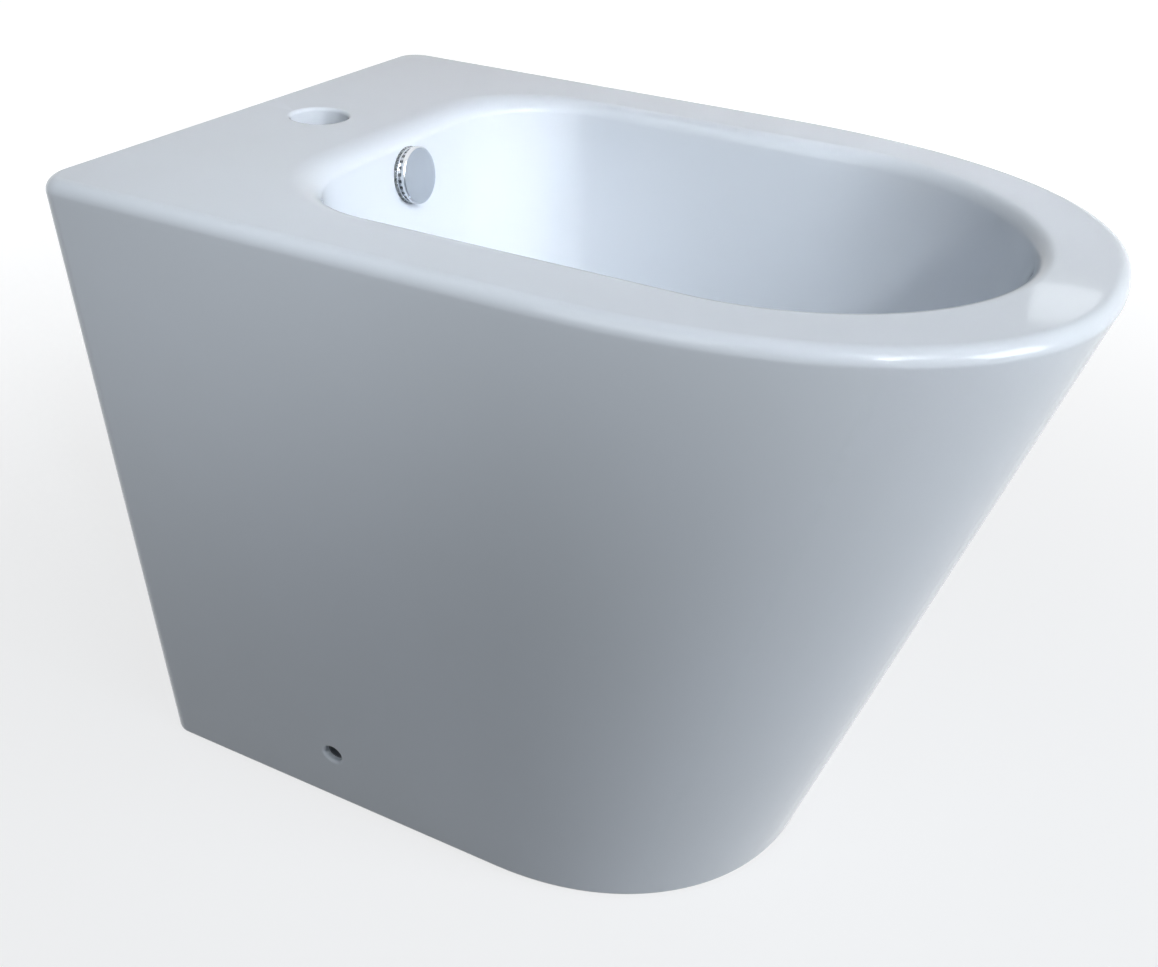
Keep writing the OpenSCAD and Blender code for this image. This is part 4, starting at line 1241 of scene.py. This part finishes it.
# %% Tubes of the trap
TRAP_PLACE = at(0, WASTE_Y, 0)
PIPE_R = 16
PIPE_T = 1.6
PIPE_BORE = PIPE_R - PIPE_T
SOCKET_R = PIPE_R + SLIP_CLEAR
NECK_R = SOCKET_R + 3.4
NECK_H = 10
BRANCH_L = 52
OUTLET_DROP = 64
INLET_WASHER_T = 2.8
INLET_FLANGE_T = 2.5
HEAD_T = 3
CUP_T = 3
CUP_GRIP_H = 14
CUP_GAP = 1.5
CUP_SEAL_T = 2
CUP_DEPTH = 34
DIP_GAP = 15
WALL_GAP = 2
MARK_BACK = 60
MARK_W = 1.5
MARK_DEPTH = 0.4
TAIL_LOW_Z = SEAT_Z + TAIL_LOW
OUTLET_Z = TAIL_LOW_Z - OUTLET_DROP
INLET_FLANGE_Z = TAIL_LOW_Z - INLET_WASHER_T - INLET_FLANGE_T
HEAD_LOW = OUTLET_Z - NECK_R - CUP_GRIP_H - CUP_GAP
HEAD_TOP = OUTLET_Z + NECK_R + HEAD_T
CUP_SHELF = HEAD_LOW - CUP_SEAL_T
CUP_FLOOR = CUP_SHELF - CUP_DEPTH
DIP_Z = CUP_FLOOR + CUP_T + DIP_GAP
PIPE_START = BRANCH_L - NECK_H - 3.5
PIPE_L = WALL_Y - WALL_GAP - WASTE_Y - PIPE_START


def outlet_place(along):
    """+Z along the outlet, towards the wall."""
    return at(0, WASTE_Y + along, OUTLET_Z, -90)


INLET_FLANGE_TOP = INLET_FLANGE_Z + INLET_FLANGE_T
dip_tube = rounded([
    (PIPE_BORE, DIP_Z, 0.3), (PIPE_R, DIP_Z, 0.6), (PIPE_R, INLET_FLANGE_Z, 0.6),
    (SMOOTH_TAIL_R, INLET_FLANGE_Z, 0.4), (SMOOTH_TAIL_R, INLET_FLANGE_TOP, 0.4),
    (PIPE_BORE, INLET_FLANGE_TOP, 0.4),
])
settle(lathe("dip_tube", dip_tube, TRAP_PLACE), "trap_plastic", "trap_inlet_tube")
mark, mark_r = PIPE_L - MARK_BACK, PIPE_R - MARK_DEPTH
outlet = rounded([
    (PIPE_BORE, 0, 0.3), (PIPE_R, 0, 0.6), (PIPE_R, mark - MARK_W, 0.1), (mark_r, mark - MARK_W, 0.1),
    (mark_r, mark, 0.1), (PIPE_R, mark, 0.1), (PIPE_R, PIPE_L - 2), (PIPE_R - 0.7, PIPE_L, 0.2),
    (PIPE_BORE, PIPE_L, 0.3),
])
settle(lathe("outlet_pipe", outlet, outlet_place(PIPE_START)), "trap_plastic", "trap_outlet_pipe")

# %% [markdown]
# The head is one moulding: a drum, a neck above it and a branch towards the wall. The drum and the branch
# are joined first, and only then hollowed, so no wall is left across the water's way. The cup screws on from
# below, and its ribs give a hand something to hold.

# %% Head and cup of the trap
HEAD_R = 30
ROOM_R = HEAD_R - HEAD_T
CUP_BORE = HEAD_R + SLIP_CLEAR
CUP_R = CUP_BORE + 3.6
CUP_TOP = HEAD_LOW + CUP_GRIP_H
NECK_TOP = HEAD_TOP + NECK_H
NECK_SEAL_H = 4
RIB_COUNT = 16
RIB_W = 3
RIB_STEPS = RIB_COUNT * 16


def trap_head():
    body = rounded([
        (0, HEAD_LOW), (HEAD_R, HEAD_LOW, 0.5), (HEAD_R, HEAD_TOP, 3), (NECK_R, HEAD_TOP, 1),
        (NECK_R, NECK_TOP, 0.6), (0, NECK_TOP),
    ], closed=False)
    piece = lathe("trap_bottle_head", body, TRAP_PLACE)
    end = BRANCH_L - PIPE_R
    branch = rounded([(0, 0), (NECK_R, 0), (NECK_R, end, 0.6), (0, end)], closed=False)
    combine(piece, [lathe("branch", branch, outlet_place(PIPE_R))], "UNION")
    room = [(0, HEAD_LOW - 1), (ROOM_R, HEAD_LOW - 1), (ROOM_R, HEAD_TOP - HEAD_T),
            (SOCKET_R, HEAD_TOP - HEAD_T), (SOCKET_R, NECK_TOP + 1), (0, NECK_TOP + 1)]
    stop = end - NECK_H - NECK_SEAL_H
    way = [(0, 0), (PIPE_BORE, 0), (PIPE_BORE, stop), (SOCKET_R, stop), (SOCKET_R, end + 1), (0, end + 1)]
    return combine(piece, [lathe("room", room, TRAP_PLACE), lathe("way", way, outlet_place(PIPE_R))])


def trap_cup():
    outer, inner, floor = HEAD_R - 1, HEAD_R - 4, CUP_FLOOR + CUP_T
    outline = rounded([
        (0, CUP_FLOOR), (outer, CUP_FLOOR, 8), (outer, CUP_SHELF - 3, 2), (CUP_R, CUP_SHELF, 1),
        (CUP_R, CUP_SHELF + 1.5), (CUP_R, CUP_SHELF + 3), (CUP_R, CUP_TOP - 3.2), (CUP_R, CUP_TOP - 2.2),
        (CUP_R, CUP_TOP, 1), (CUP_BORE, CUP_TOP, 0.4), (CUP_BORE, CUP_SHELF, 0.3), (inner, CUP_SHELF, 0.4),
        (inner, floor, 5), (0, floor),
    ], closed=False)
    grip = ribs(CUP_R, 1, RIB_W, RIB_COUNT, CUP_SHELF, CUP_TOP - 2)
    return lathe("trap_bottle_cup", outline, TRAP_PLACE, RIB_STEPS, grip)


settle(trap_head(), "trap_plastic", "trap_head", sharp=40)
settle(trap_cup(), "trap_plastic", "trap_cup")

# %% [markdown]
# The three hand nuts are one design in two bores. One function draws it, because only the neck, the height
# and the place differ. The inlet's nut hangs upside down over the waste's tail.

# %% Hand nuts of the trap
NUT_T = 4
NUT_LIP = 3
NUT_RIB = 1.2
NUT_GAP = 0.5


def hand_nut(name, neck, h, place):
    bore = neck + SLIP_CLEAR
    base = bore + NUT_T - NUT_RIB
    outline = rounded([
        (bore, 0, 0.3), (base, 0, 0.6), (base, 1), (base, 2), (base, h - 3), (base, h - 2), (base, h, 1.4),
        (SOCKET_R, h, 0.5), (SOCKET_R, h - NUT_LIP, 0.3), (bore, h - NUT_LIP, 0.3),
    ])
    return lathe(name, outline, place, RIB_STEPS, ribs(base, NUT_RIB, RIB_W, RIB_COUNT, 0, h - 1.5))


joint_h = NECK_H + NECK_SEAL_H + NUT_LIP - NUT_GAP
inlet_h = NUT_LIP + INLET_FLANGE_T + INLET_WASHER_T + NECK_H
inlet_place = at(0, WASTE_Y, INLET_FLANGE_Z - NUT_LIP + inlet_h, 180)
top_place = at(0, WASTE_Y, HEAD_TOP + NUT_GAP)
branch_place = outlet_place(BRANCH_L - NECK_H + NUT_GAP)
settle(hand_nut("inlet_nut", TAIL_R, inlet_h, inlet_place), "trap_plastic", "trap_inlet_nut")
settle(hand_nut("top_nut", NECK_R, joint_h, top_place), "trap_plastic", "trap_top_nut")
settle(hand_nut("outlet_nut", NECK_R, joint_h, branch_place), "trap_plastic", "trap_outlet_nut")

# %% [markdown]
# ## Shader groups
#
# A finish is a few simple effects laid over each other. Each effect is a node group with named sockets, so
# one group serves many materials at different scales. Groups put out only heights, masks and colours. The
# shader itself, and anything that looks at the light, stays in the material.

# %% Node helpers
def feed(tree, socket, value):
    """Sets a socket to a plain value, or links it where the value is itself a socket."""
    if isinstance(value, bpy.types.NodeSocket):
        tree.links.new(value, socket)
    else:
        socket.default_value = value


def add_node(tree, kind, modes=None, **values):
    """A shader node. modes are its settings, and values are its inputs by name, such as To_Min=0.2."""
    made = tree.nodes.new("ShaderNode" + kind)
    for mode, setting in (modes or {}).items():
        setattr(made, mode, setting)
    for label, value in values.items():
        feed(tree, made.inputs[label.replace("_", " ")], value)
    return made


def math_node(tree, operation, *values):
    """A Math node whose inputs are numbers or sockets."""
    made = add_node(tree, "Math", {"operation": operation})
    for socket, value in zip(made.inputs, values):
        feed(tree, socket, value)
    return made.outputs[0]


def own_place(tree):
    """The piece's own coordinates, in metres."""
    return add_node(tree, "TexCoord").outputs["Object"]


def noise(tree, scale, detail=3.0, roughness=0.5):
    """Noise in the piece's own coordinates. scale is in waves per metre."""
    sizes = {"Scale": scale, "Detail": detail, "Roughness": roughness}
    return add_node(tree, "TexNoise", Vector=own_place(tree), **sizes).outputs[0]


def remap(tree, value, low, high, to_low=0.0, to_high=1.0, curve="LINEAR"):
    """Stretches the range from low to high to another range, and stops at both ends."""
    modes = {"interpolation_type": curve}
    ends = {"From_Min": low, "From_Max": high, "To_Min": to_low, "To_Max": to_high}
    return add_node(tree, "MapRange", modes, Value=value, **ends).outputs[0]


def blend(tree, share, a, b):
    """A colour between a and b."""
    return add_node(tree, "Mix", {"data_type": "RGBA"}, Factor=share, A=a, B=b).outputs["Result"]


print("node helpers ready")

# %% [markdown]
# A group is a tree of its own with named sockets. Its inputs get their usual values when it is made, and each
# material may then change them.

# %% Group helper
FLOAT, COLOR = "NodeSocketFloat", "NodeSocketColor"


def new_group(name, inputs, outputs):
    """An empty shader group. inputs are (name, socket type, value), outputs are (name, socket type)."""
    tree = bpy.data.node_groups.new(name, "ShaderNodeTree")
    for label, kind, value in inputs:
        tree.interface.new_socket(label, in_out="INPUT", socket_type=kind).default_value = value
    for label, kind in outputs:
        tree.interface.new_socket(label, in_out="OUTPUT", socket_type=kind)
    given, out = tree.nodes.new("NodeGroupInput"), tree.nodes.new("NodeGroupOutput")
    return tree, given.outputs, out.inputs


print("groups can take", FLOAT, "and", COLOR)

# %% [markdown]
# Fired glaze is never quite flat. It pulls itself into slow swells a hand wide, with a very faint orange
# peel on top. Both are far too small to see as shape, and show only as a tremble in the reflections.

# %% Slow swells of a poured or polished skin
def make_swell():
    tree, given, out = new_group(
        "swell",
        [("Scale", FLOAT, 14), ("Peel Scale", FLOAT, 260), ("Peel", FLOAT, 0.04)],
        [("Height", FLOAT)],
    )
    slow = noise(tree, given["Scale"], 1.5, 0.4)
    peel = noise(tree, given["Peel Scale"], 1.0, 0.4)
    small = math_node(tree, "MULTIPLY", peel, given["Peel"])
    feed(tree, out["Height"], math_node(tree, "ADD", slow, small))
    return tree


SWELL = make_swell()
print("group:", SWELL.name)

# %% [markdown]
# No fired, moulded or plated surface is one even colour. This group lets a colour wander towards a second
# one in soft clouds.

# %% Tone drift
CLOUD_LOW, CLOUD_HIGH = 0.35, 0.7


def make_drift():
    tree, given, out = new_group(
        "tone_drift",
        [("Color", COLOR, (1, 1, 1, 1)), ("Toward", COLOR, (0.8, 0.8, 0.8, 1)), ("Scale", FLOAT, 9),
         ("Amount", FLOAT, 0.5)],
        [("Color", COLOR)],
    )
    cloud = remap(tree, noise(tree, given["Scale"], 4), CLOUD_LOW, CLOUD_HIGH)
    share = math_node(tree, "MULTIPLY", cloud, given["Amount"])
    feed(tree, out["Color"], blend(tree, share, given["Color"], given["Toward"]))
    return tree


DRIFT = make_drift()
print("group:", DRIFT.name)

# %% [markdown]
# Moulded plastic, rubber and bare china have a fine grain from the mould or the clay. The group gives it as
# a height for the bump and as a mask for the roughness.

# %% Fine grain
PIT_SCALE = 0.35
PIT_SIZE = 0.12


def make_grain():
    tree, given, out = new_group(
        "fine_grain", [("Scale", FLOAT, 900), ("Pits", FLOAT, 0.3)], [("Height", FLOAT), ("Mask", FLOAT)]
    )
    grain = noise(tree, given["Scale"], 5, 0.6)
    wide = math_node(tree, "MULTIPLY", given["Scale"], PIT_SCALE)
    cells = add_node(tree, "TexVoronoi", Vector=own_place(tree), Scale=wide)
    pit = math_node(tree, "LESS_THAN", cells.outputs["Distance"], PIT_SIZE)
    sunk = math_node(tree, "MULTIPLY", pit, given["Pits"])
    feed(tree, out["Height"], math_node(tree, "SUBTRACT", grain, sunk))
    feed(tree, out["Mask"], grain)
    return tree


GRAIN = make_grain()
print("group:", GRAIN.name)

# %% [markdown]
# Turned metal keeps the lines of its tool. Here they run round the piece's own axis, because the noise is
# read along the radius and the height only.

# %% Turning marks
def make_turning():
    tree, given, out = new_group(
        "turning_marks", [("Scale", FLOAT, 1500)], [("Height", FLOAT), ("Mask", FLOAT)]
    )
    parts = add_node(tree, "SeparateXYZ", Vector=own_place(tree)).outputs
    squares = [math_node(tree, "POWER", parts[axis], 2) for axis in "XY"]
    radius = math_node(tree, "SQRT", math_node(tree, "ADD", *squares))
    line = add_node(tree, "CombineXYZ", X=radius, Y=parts["Z"]).outputs[0]
    marks = add_node(tree, "TexNoise", Vector=line, Scale=given["Scale"], Detail=3).outputs[0]
    feed(tree, out["Height"], marks)
    feed(tree, out["Mask"], marks)
    return tree


TURNING = make_turning()
print("group:", TURNING.name)

# %% [markdown]
# Handling rubs the edges of a metal part first. Pointiness tells how far a point stands out from the skin
# around it, so it finds those edges on any shape, and broken noise keeps the wear from looking drawn.

# %% Edge wear
WEAR_RANGE = 0.08


def make_wear():
    tree, given, out = new_group(
        "edge_wear", [("Start", FLOAT, 0.53), ("Breakup Scale", FLOAT, 400)], [("Mask", FLOAT)]
    )
    edges = add_node(tree, "NewGeometry").outputs["Pointiness"]
    end = math_node(tree, "ADD", given["Start"], WEAR_RANGE)
    worn = remap(tree, edges, given["Start"], end)
    breakup = noise(tree, given["Breakup Scale"], 4, 0.6)
    feed(tree, out["Mask"], math_node(tree, "MULTIPLY", worn, breakup))
    return tree


WEAR = make_wear()
print("group:", WEAR.name)

# %% [markdown]
# ## Materials
#
# A material starts from one Principled shader. Plain numbers are set on the shader's own sockets. Only what
# changes over the surface comes through a node.

# %% Material helpers
NOISE_LOW, NOISE_HIGH = 0.3, 0.7


def srgb(r, g, b):
    """A colour as a paint program shows it, from 0 to 255, as the linear value that a shader takes."""
    linear = [v / 255 / 12.92 if v < 10.3 else ((v / 255 + 0.055) / 1.055) ** 2.4 for v in (r, g, b)]
    return (*linear, 1)


def new_material(name, **plain):
    """A material with a Principled shader whose plain sockets are given by name, such as IOR=1.5."""
    material = bpy.data.materials.get(name) or bpy.data.materials.new(name)
    material.use_nodes = True
    tree = material.node_tree
    tree.nodes.clear()
    shader = add_node(tree, "BsdfPrincipled", **plain)
    add_node(tree, "OutputMaterial", Surface=shader.outputs[0])
    return material, tree, shader.inputs


def place_group(tree, group, **values):
    return add_node(tree, "Group", {"node_tree": group}, **values).outputs


def drift_color(tree, shader, color, toward, scale, amount):
    tone = place_group(tree, DRIFT, Color=color, Toward=toward, Scale=scale, Amount=amount)["Color"]
    feed(tree, shader["Base Color"], tone)
    return tone


def vary_roughness(tree, shader, mask, low, high):
    feed(tree, shader["Roughness"], remap(tree, mask, NOISE_LOW, NOISE_HIGH, low, high))


def bump(tree, shader, height, depth_mm):
    made = add_node(tree, "Bump", Strength=1, Distance=depth_mm * MM, Height=height)
    feed(tree, shader["Normal"], made.outputs["Normal"])


def marked(name, color, toward, clouds, group, sizes, depth_mm, rough, **plain):
    """A drifting colour, with one group's height as the bump and its mask as the roughness."""
    _, tree, shader = new_material(name, **plain)
    tone = drift_color(tree, shader, color, toward, *clouds)
    marks = place_group(tree, group, **sizes)
    bump(tree, shader, marks["Height"], depth_mm)
    vary_roughness(tree, shader, marks["Mask"], *rough)
    return tree, shader, tone


print("a middle grey of 128 is", round(srgb(128, 128, 128)[0], 3), "in linear light")

# %% [markdown]
# The glaze is white but not paper white: it has a slightly cool cast, and a trace of warmth where it lies
# thick. Its skin is glass, so the roughness stays very low and only the slow swells disturb it. The bare
# china underneath is a warm, chalky white.

# %% China
def glaze_material():
    _, tree, shader = new_material("glaze", IOR=1.5, Specular_IOR_Level=0.34)
    drift_color(tree, shader, srgb(227, 232, 239), srgb(222, 227, 232), 5, 0.6)
    swell = place_group(tree, SWELL, Scale=11, Peel_Scale=210, Peel=0.02)
    bump(tree, shader, swell["Height"], 0.35)
    vary_roughness(tree, shader, noise(tree, 30), 0.045, 0.075)


glaze_material()
clay_grain = {"Scale": 700, "Pits": 0.4}
marked("bare_china", srgb(221, 217, 209), srgb(205, 197, 185), (22, 0.7), GRAIN, clay_grain, 0.12,
       (0.75, 0.95), IOR=1.45, Specular_IOR_Level=0.25)
print("china finishes: glaze and bare china")

# %% [markdown]
# Chrome is a mirror with a blue-grey tint. Wiping leaves faint marks that only change its roughness. Brass
# keeps the lines of the lathe. Zinc plate is greyer and cloudy, and the black screws show steel where the key
# has rubbed them.

# %% Metals
WEAR_START = 0.54


def chrome_material():
    _, tree, shader = new_material("chrome", Metallic=1)
    drift_color(tree, shader, srgb(231, 234, 238), srgb(220, 224, 230), 40, 0.5)
    swell = place_group(tree, SWELL, Scale=70, Peel_Scale=900, Peel=0.02)
    bump(tree, shader, swell["Height"], 0.02)
    vary_roughness(tree, shader, place_group(tree, GRAIN, Scale=500)["Mask"], 0.025, 0.08)


def worn_metal(name, color, toward, rubbed, rough):
    grain = {"Scale": 1100, "Pits": 0.2}
    tree, shader, tone = marked(name, color, toward, (70, 0.8), GRAIN, grain, 0.03, rough, Metallic=1)
    wear = place_group(tree, WEAR, Start=WEAR_START)
    feed(tree, shader["Base Color"], blend(tree, wear["Mask"], tone, rubbed))


chrome_material()
marked("brass", srgb(221, 190, 122), srgb(186, 148, 88), (60, 0.8), TURNING, {"Scale": 2600}, 0.04,
       (0.18, 0.42), Metallic=1)
worn_metal("steel", srgb(196, 199, 205), srgb(176, 176, 166), srgb(222, 224, 228), (0.28, 0.5))
worn_metal("dark_steel", srgb(62, 64, 68), srgb(48, 50, 54), srgb(150, 152, 156), (0.3, 0.45))
print("metals: chrome, brass, steel, dark steel")

# %% [markdown]
# The plastics differ in gloss and grain. The trap's white plastic is glossy with a fine grain from the
# mould. Rubber is almost black and holds a little grey dust. The gasket is clear silicone, so light goes
# through it and comes back from the glaze.

# %% Plastics and rubber
def moulded(name, color, toward, rough, grain_scale, grain_mm, **plain):
    grain = {"Scale": grain_scale, "Pits": 0.15}
    marked(name, srgb(*color), srgb(*toward), (45, 0.7), GRAIN, grain, grain_mm, rough, **plain)


moulded("trap_plastic", (238, 239, 238), (228, 229, 226), (0.22, 0.34), 500, 0.015, IOR=1.49)
moulded("cartridge_plastic", (230, 229, 224), (216, 214, 206), (0.34, 0.48), 700, 0.02, IOR=1.48)
# Real grey sleeve plastic, kept dark as partly painted shade, so the side holes read deep inside.
moulded("dark_plastic", (116, 119, 124), (100, 103, 108), (0.38, 0.55), 900, 0.03, IOR=1.49)
moulded("rubber", (44, 44, 46), (62, 62, 62), (0.6, 0.8), 1200, 0.04, IOR=1.5, Specular_IOR_Level=0.35)
moulded("clear_seal", (205, 211, 214), (190, 197, 201), (0.2, 0.32), 600, 0.01, IOR=1.41,
        Transmission_Weight=0.7)
print("plastics, rubber and clear silicone")

# %% [markdown]
# Every piece knows its slot by now: the remade pieces were given one, and the record holds one for each CAD
# node. So one loop can hand out the materials.

# %% Handing out the materials
slot_of = {part["node"]: part["material_slot"] for part in frame["record"]["subparts"]}
for piece in [o for o in bpy.data.objects if o.type == "MESH"]:
    if piece is china:
        continue
    wanted = piece.get("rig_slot") or slot_of.get(piece.name)
    piece.data.materials.clear()
    piece.data.materials.append(bpy.data.materials[wanted])
for cad_node in frame["nodes"].values():
    mesh = cad_node.data
    mesh.polygons.foreach_set("use_smooth", [True] * len(mesh.polygons))
    mesh.set_sharp_from_angle(angle=math.radians(30))

# %% [markdown]
# ## Floor, world and light
#
# The floor is a plain mid grey to the light, so it bounces little, and it adds a glow for the camera and for
# reflections, so it shows as a pale sweep that still keeps the object's shadow. The glow grows with the
# distance, so the sweep ends in white, and the weaker glow near the object paints a soft shade on the floor
# round it, over the real shadow. The world is plain white to the camera too.

# %% Floor and world
FLOOR_HALF = 6000
FLOOR_SINK = 0.4
FLOOR_COLOR = srgb(122, 124, 127)
# Painted shade: the glow is weaker near the object, so the floor round it reads darker.
FLOOR_GLOW_NEAR = 0.74
FLOOR_GLOW_FAR = 0.96
GLOW_FROM, GLOW_TO = 0.3, 1.6
WHITE = (1, 1, 1, 1)
WORLD_SOFT = (0.86, 0.94, 1.0, 1)
WORLD_SOFT_STRENGTH = 0.13


def seen_directly(tree):
    """1 for rays from the camera, a mirror or glass, and 0 for light that falls on the object."""
    ray = add_node(tree, "LightPath").outputs
    mirror = math_node(tree, "MAXIMUM", ray["Is Glossy Ray"], ray["Is Transmission Ray"])
    return math_node(tree, "MAXIMUM", ray["Is Camera Ray"], mirror)


def floor_material():
    material, tree, shader = new_material(
        "pale_floor", Base_Color=FLOOR_COLOR, Emission_Color=WHITE, Roughness=0.9, Specular_IOR_Level=0.1
    )
    reach = add_node(tree, "VectorMath", {"operation": "LENGTH"}, Vector=own_place(tree)).outputs["Value"]
    # The glow is lower close to the object, which paints a soft shade on the floor round it.
    glow = remap(tree, reach, GLOW_FROM, GLOW_TO, FLOOR_GLOW_NEAR, FLOOR_GLOW_FAR, "SMOOTHSTEP")
    feed(tree, shader["Emission Strength"], math_node(tree, "MULTIPLY", seen_directly(tree), glow))
    return material


def add_floor():
    half = FLOOR_HALF
    corners = ((-half, -half), (half, -half), (half, half), (-half, half))
    mesh = bpy.data.meshes.new("floor")
    mesh.from_pydata([Vector((x, y, -FLOOR_SINK)) * MM for x, y in corners], [], [(0, 1, 2, 3)])
    mesh.materials.append(floor_material())
    floor = bpy.data.objects.new("floor", mesh)
    bpy.context.scene.collection.objects.link(floor)


def add_world():
    world = bpy.data.worlds.new("pale_room")
    bpy.context.scene.world = world
    world.use_nodes = True
    tree = world.node_tree
    soft = tree.nodes["Background"]
    soft.inputs["Color"].default_value = WORLD_SOFT
    soft.inputs["Strength"].default_value = WORLD_SOFT_STRENGTH
    white = add_node(tree, "Background", Color=WHITE)
    pick = add_node(tree, "MixShader", Fac=seen_directly(tree))
    feed(tree, pick.inputs[1], soft.outputs[0])
    feed(tree, pick.inputs[2], white.outputs[0])
    feed(tree, tree.nodes["World Output"].inputs["Surface"], pick.outputs[0])


add_floor()
add_world()
bpy.context.scene.view_settings.view_transform = "Standard"
print("floor and world: pale to the camera")

# %% [markdown]
# Seven lamps light the object. The key stands in front of the rounded nose, low enough to look into the bowl.
# A small one close by on the left is nearer to the top of that side than to its foot, so the side darkens
# downwards. Two have a grid, which narrows the beam: one covers the whole bowl from above, and the other is
# a slit that passes over the near rim and ends on the far wall. Two more stand behind and on the right, so
# that the sides away from the camera and the trap inside aren't left in the dark. They are about level with
# the rim, so little of their light falls into the bowl, and the glaze doesn't mirror them. The last is a
# small window card that adds one highlight on the rim, as a real room would.

# %% Lamps
LIGHT_AIM = (0, 0, 260)
BOWL_AIM = (40, -60, 350)
FAR_WALL_AIM = (140, 0, 385)
SIDE_AIM = (-150, 0, 330)
RIM_AIM = (-50, -238, BODY_H)
COOL = (0.91, 0.955, 1.0)


def add_softbox(name, aim, azimuth, elevation, distance, size, watts, spread=180, mirrored=True):
    """A lamp that faces a point. Azimuth 0 stands in front of the nose and 90 stands on the +X side."""
    a, e = math.radians(azimuth), math.radians(elevation)
    away = Vector((math.sin(a) * math.cos(e), -math.cos(a) * math.cos(e), math.sin(e)))
    data = bpy.data.lights.new(name, "AREA")
    data.shape = "RECTANGLE"
    data.size, data.size_y = size[0] * MM, size[1] * MM
    data.energy = watts
    data.color = COOL
    data.spread = math.radians(spread)
    lamp = bpy.data.objects.new(name, data)
    bpy.context.scene.collection.objects.link(lamp)
    turn = (-away).to_track_quat("-Z", "Y").to_matrix().to_4x4()
    lamp.matrix_world = Matrix.Translation((Vector(aim) + away * distance) * MM) @ turn
    lamp.visible_camera = False
    lamp.visible_glossy = mirrored


add_softbox("key", LIGHT_AIM, 0, 24, 2300, (1000, 1000), 30)
add_softbox("near_left", SIDE_AIM, -95, 40, 900, (500, 500), 1.58)
add_softbox("gridded", BOWL_AIM, -30, 45, 2000, (700, 700), 0.59, spread=40)
add_softbox("slit", FAR_WALL_AIM, -38, 33, 2000, (900, 260), 0.34, spread=10.3)
add_softbox("low_back", LIGHT_AIM, 172, 1, 2400, (1500, 300), 19, mirrored=False)
add_softbox("low_right", LIGHT_AIM, 84, 1, 2400, (1500, 300), 13.7, mirrored=False)
add_softbox("window", RIM_AIM, 92.9, 20.7, 2000, (120, 80), 0.04)
